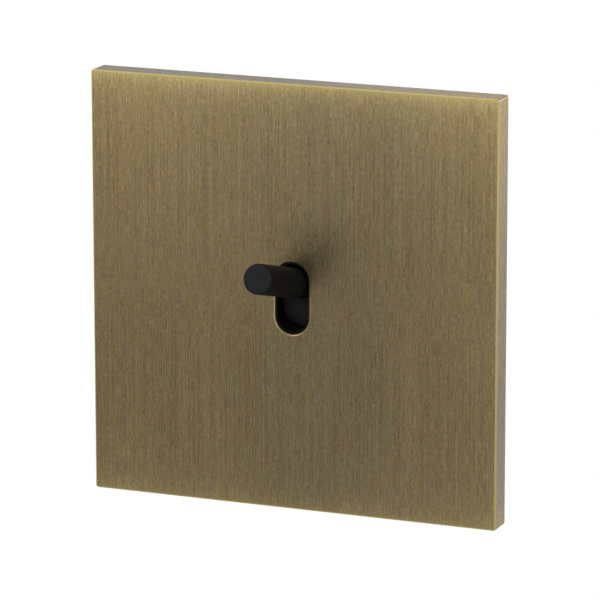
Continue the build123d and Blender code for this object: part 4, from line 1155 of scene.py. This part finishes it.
@dataclass
class LeverUnit(Unit):
    """The lever, the rocker that carries it, and the axle."""

    finishes: Finishes = (
        (MattePaint(), ("lever_rod",)), (SlotShield(), ("rocker",)),
        (PlatedSteel("ground steel", shade(205, 205, 202), shade(178, 178, 176), 0.2, Axis.X),
         ("pivot_pin", "pin_clip")))
    pivot_depth: float = 6.9
    tilt: float = 14.5
    stud_reach: float = 12.6
    stud: Screw = Screw(3.0, 0.5, 9.5, drive_reach=1.6, drive_width=0.6, drive_depth=0.9)
    stud_steel: Finish = PlatedSteel("stud steel", shade(196, 198, 201), shade(166, 168, 172), 0.28,
                                     Axis.X)

    def build(self) -> None:
        """Cuts the thread of the stud that joins lever and rocker."""
        tilt = math.radians(self.tilt)
        outward = (0.0, -math.cos(tilt), math.sin(tilt))
        seat = (0.0, self.pivot_depth + outward[1] * self.stud_reach, outward[2] * self.stud_reach)
        role = Role("lever_stud", Body.LEVER, "zinc_steel")
        ScrewSet("lever_stud_cut", role, self.stud, (seat,), outward).build(self.stud_steel)


@dataclass
class CoverUnit(Unit):
    """The black front moulding with its collar, and the rubber stops."""

    finishes: Finishes = (
        (Moulding("black cover", shade(12, 12, 11), shade(17, 17, 16), 0.65, 0.1, dust=0.04),
         ("front_cover",)),
        (Rubber(), ("stop_buffers",)))


@dataclass
class MountingFrame(Unit):
    """The steel yoke, the carrier that hooks the plate on it, and the earth clamp."""

    finishes: Finishes = (
        (PlatedSteel("zinc plated sheet", shade(196, 199, 203), shade(168, 171, 176), 0.36), ("yoke",)),
        (Moulding("carrier moulding", shade(44, 44, 45), shade(54, 54, 55), 0.5), ("plate_carrier",)),
        (Brass("stamped brass", shade(208, 186, 128), shade(162, 140, 92), 0.34), ("earth_washer",)))
    screws: Screws = (
        (ScrewSet("carrier_screw", Role("carrier_screws", Body.BASE, "black_screw"),
                  Screw(2.0, 0.4, 2.3, head=Head.COUNTERSUNK, head_diameter=3.8, head_height=1.0,
                        drive=Drive.CROSS, drive_reach=1.14, drive_width=0.6, drive_depth=0.6, tip=0.2),
                  ((-32.0, -2.4, -32.0), (32.0, -2.4, -32.0), (-32.0, -2.4, 32.0), (32.0, -2.4, 32.0)),
                  (0.0, 1.0, 0.0)),
         PlatedSteel("blackened steel", shade(58, 58, 60), shade(44, 44, 46), 0.4)),
        (ScrewSet("earth_screw_cut", Role("earth_screw", Body.BASE, "screw_brass"),
                  Screw(3.5, 0.6, 4.1, head=Head.PAN, head_diameter=6.0, head_height=2.0, head_edge=0.7,
                        drive_reach=3.2, drive_width=0.96, drive_depth=0.96),
                  ((10.0, 4.8, 26.1),), (0.0, 0.0, 1.0)),
         Brass("turned brass", shade(216, 194, 136), shade(168, 146, 98))))


@dataclass
class HousingUnit(Unit):
    """The moulded housing, the deck inside it and the screws that close it."""

    finishes: Finishes = (
        (Moulding("grey housing", shade(176, 176, 172), shade(190, 190, 187), 0.48, 0.4, 0.16),
         ("housing",)),
        (Moulding("dark deck", shade(84, 84, 86), shade(98, 98, 100), 0.5), ("contact_deck",)))
    screws: Screws = (
        (ScrewSet("mechanism_screw", Role("mechanism_screws", Body.BASE, "zinc_steel"),
                  Screw(2.5, 0.9, 12.2, head=Head.PAN, head_diameter=4.5, head_height=1.4, head_edge=0.55,
                        drive=Drive.CROSS, drive_reach=1.35, drive_width=0.72, drive_depth=0.72, tip=0.5),
                  ((-16.0, -1.2, -17.0), (16.0, -1.2, -17.0), (-16.0, -1.2, 17.0), (16.0, -1.2, 17.0)),
                  (0.0, -1.0, 0.0)),
         PlatedSteel("zinc plated screw", shade(186, 188, 191), shade(154, 156, 160), 0.34, Axis.Y)),)


@dataclass
class ContactUnit(Unit):
    """Plunger, contact bridge, fixed contacts, terminals and both springs."""

    finishes: Finishes = (
        (Moulding("natural plunger", shade(214, 210, 198), shade(224, 221, 211), 0.36, 0.5, 0.2),
         ("plunger",)),
        (Brass("rolled copper alloy", shade(212, 156, 108), shade(158, 104, 68), 0.3),
         ("contact_bridge", "fixed_contact_left", "fixed_contact_right")),
        (PlatedSteel("silver contact", shade(226, 226, 221), shade(198, 198, 193), 0.22, Axis.X),
         ("bridge_tips", "fixed_tips")),
        (Brass("machined brass", shade(212, 188, 128), shade(164, 140, 92), 0.26, Axis.Z),
         ("terminal_block_left", "terminal_block_right")))
    clamp: Screw = Screw(3.5, 0.6, 3.0, head=Head.CHEESE, head_diameter=5.0, head_height=1.2,
                         head_edge=0.15, drive_reach=2.7, drive_width=0.8, drive_depth=0.9)
    clamp_steel: Finish = PlatedSteel("terminal screw", shade(184, 186, 189), shade(150, 152, 156),
                                      0.34, Axis.X)
    clamp_seats: tuple[tuple[str, Place], ...] = (
        ("left", (-15.0, 28.384, -7.5)), ("right", (15.0, 28.384, -7.5)))
    inner: Coil = Coil("contact_spring_coil", Role("contact_spring", Body.PLUNGER, "spring_steel"),
                       1.35 * MM, 0.35 * MM, 4.6)
    outer: Coil = Coil("return_spring_coil", Role("return_spring", Body.BASE, "spring_steel"),
                       2.1 * MM, 0.45 * MM, 7.5)

    def build(self) -> None:
        """Models the terminal screws and winds both springs."""
        for side, seat in self.clamp_seats:
            role = Role(f"terminal_screw_{side}", Body.BASE, "zinc_steel")
            screws = ScrewSet(f"terminal_screw_{side}_cut", role, self.clamp, (seat,), (0.0, 1.0, 0.0))
            screws.build(self.clamp_steel)
        self.inner.wind(SpringWire())
        self._squeeze(self.outer.wind(SpringWire()))

    def _squeeze(self, spring: Piece) -> None:
        """Gives the return spring a mesh of its own.

        Args:
            spring: The return spring.
        """
        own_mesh(spring)


@dataclass
class Studio:
    """The pale floor, the soft light and the camera."""

    floor_height: float = -1.1
    floor_size: float = 30.0
    floor_colour: Colour = (0.85, 0.85, 0.85, 1.0)
    sky_light: float = 0.42
    focal_length: float = 275.1
    yaw: float = 0.3885
    pitch: float = 0.2331
    roll: float = -0.0013
    distance: float = 0.89303
    aside: tuple[float, float] = (0.001618, -0.000227)
    aim: Place = (0.0, -0.0055, 0.0)

    def dress(self) -> None:
        """Makes the background and sets how colours are shown."""
        self._world()
        bpy.context.scene.view_settings.view_transform = "Standard"

    def build(self) -> None:
        """Lays the floor, hangs the lamps and stands the camera."""
        self._floor()
        self._lamp("key", (-0.75, -1.05, 0.85), 1.5, 14.0)
        self._lamp("fill", (0.9, 1.2, 0.6), 1.6, 12.0)
        self._camera()

    def _white_for_views(self, graph: Graph) -> Socket:
        """Tells the rays that see the background from those that light the object.

        Args:
            graph: The tree that needs the answer.

        Returns:
            1 for camera, glossy and transmission rays.
        """
        rays = graph.add("LightPath").outputs
        seen = graph.math("MAXIMUM", rays["Is Camera Ray"], rays["Is Glossy Ray"])
        return graph.math("MAXIMUM", seen, rays["Is Transmission Ray"])

    def _floor(self) -> None:
        """Lays the pale floor at a wall switch's usual height below it."""
        let_go()
        bpy.ops.mesh.primitive_plane_add(size=self.floor_size, location=(0.0, 0.0, self.floor_height))
        floor = bpy.context.active_object
        floor.name = "floor"
        material = bpy.data.materials.new("pale floor")
        g = fresh(material)
        plain = g.feed(g.add("BsdfDiffuse"), Color=self.floor_colour).outputs[0]
        white = g.add("Emission").outputs[0]
        mixed = g.run("MixShader", (self._white_for_views(g), plain, white))
        g.feed(g.add("OutputMaterial"), Surface=mixed)
        floor.data.materials.append(material)

    def _world(self) -> None:
        """Makes the background white to look at and softer as a light."""
        world = bpy.data.worlds.new("studio")
        bpy.context.scene.world = world
        g = fresh(world)
        strength = g.ramp(self._white_for_views(g), 0.0, 1.0, self.sky_light, 1.0, False)
        sky = g.feed(g.add("Background"), Color=(1.0, 1.0, 1.0, 1.0), Strength=strength)
        g.feed(g.add("OutputWorld"), Surface=sky.outputs[0])

    def _lamp(self, name: str, place: Place, size: float, power: float) -> None:
        """Adds one soft lamp that looks at the switch.

        Args:
            name: The lamp's name.
            place: Where it hangs.
            size: Side of its square.
            power: Its power in watts.
        """
        light = bpy.data.lights.new(name, "AREA")
        light.shape = "SQUARE"
        light.size = size
        light.energy = power
        lamp = bpy.data.objects.new(name, light)
        lamp.location = place
        lamp.rotation_euler = (-Vector(place)).to_track_quat("-Z", "Y").to_euler()
        lamp.visible_camera = False
        bpy.context.scene.collection.objects.link(lamp)

    def _camera(self) -> None:
        """Stands the camera where the plate's corners fall as they are seen."""
        level = math.cos(self.pitch)
        back = Vector((math.sin(self.yaw) * level, -math.cos(self.yaw) * level, math.sin(self.pitch)))
        right = Vector((math.cos(self.yaw), math.sin(self.yaw), 0.0))
        up = back.cross(right)
        turned_right = right * math.cos(self.roll) + up * math.sin(self.roll)
        turned_up = up * math.cos(self.roll) - right * math.sin(self.roll)
        data = bpy.data.cameras.new("camera")
        data.lens = self.focal_length
        data.sensor_width = 36.0
        data.clip_start = 0.05
        data.clip_end = 60.0
        camera = bpy.data.objects.new("camera", data)
        bpy.context.scene.collection.objects.link(camera)
        camera.rotation_euler = Matrix((turned_right, turned_up, back)).transposed().to_euler()
        moved = right * self.aside[0] + up * self.aside[1]
        camera.location = Vector(self.aim) + back * self.distance + moved
        bpy.context.scene.camera = camera


def main() -> None:
    """Builds and dresses the sub-assemblies in order."""
    logging.basicConfig(level=logging.INFO, format="%(name)s: %(message)s")
    for kind in (FrontPlate, LeverUnit, CoverUnit, MountingFrame, HousingUnit, ContactUnit, Studio):
        LOG.info("starting %s", kind.__name__)
        unit = kind()
        unit.dress()
        unit.build()


if __name__ == "__main__":
    main()
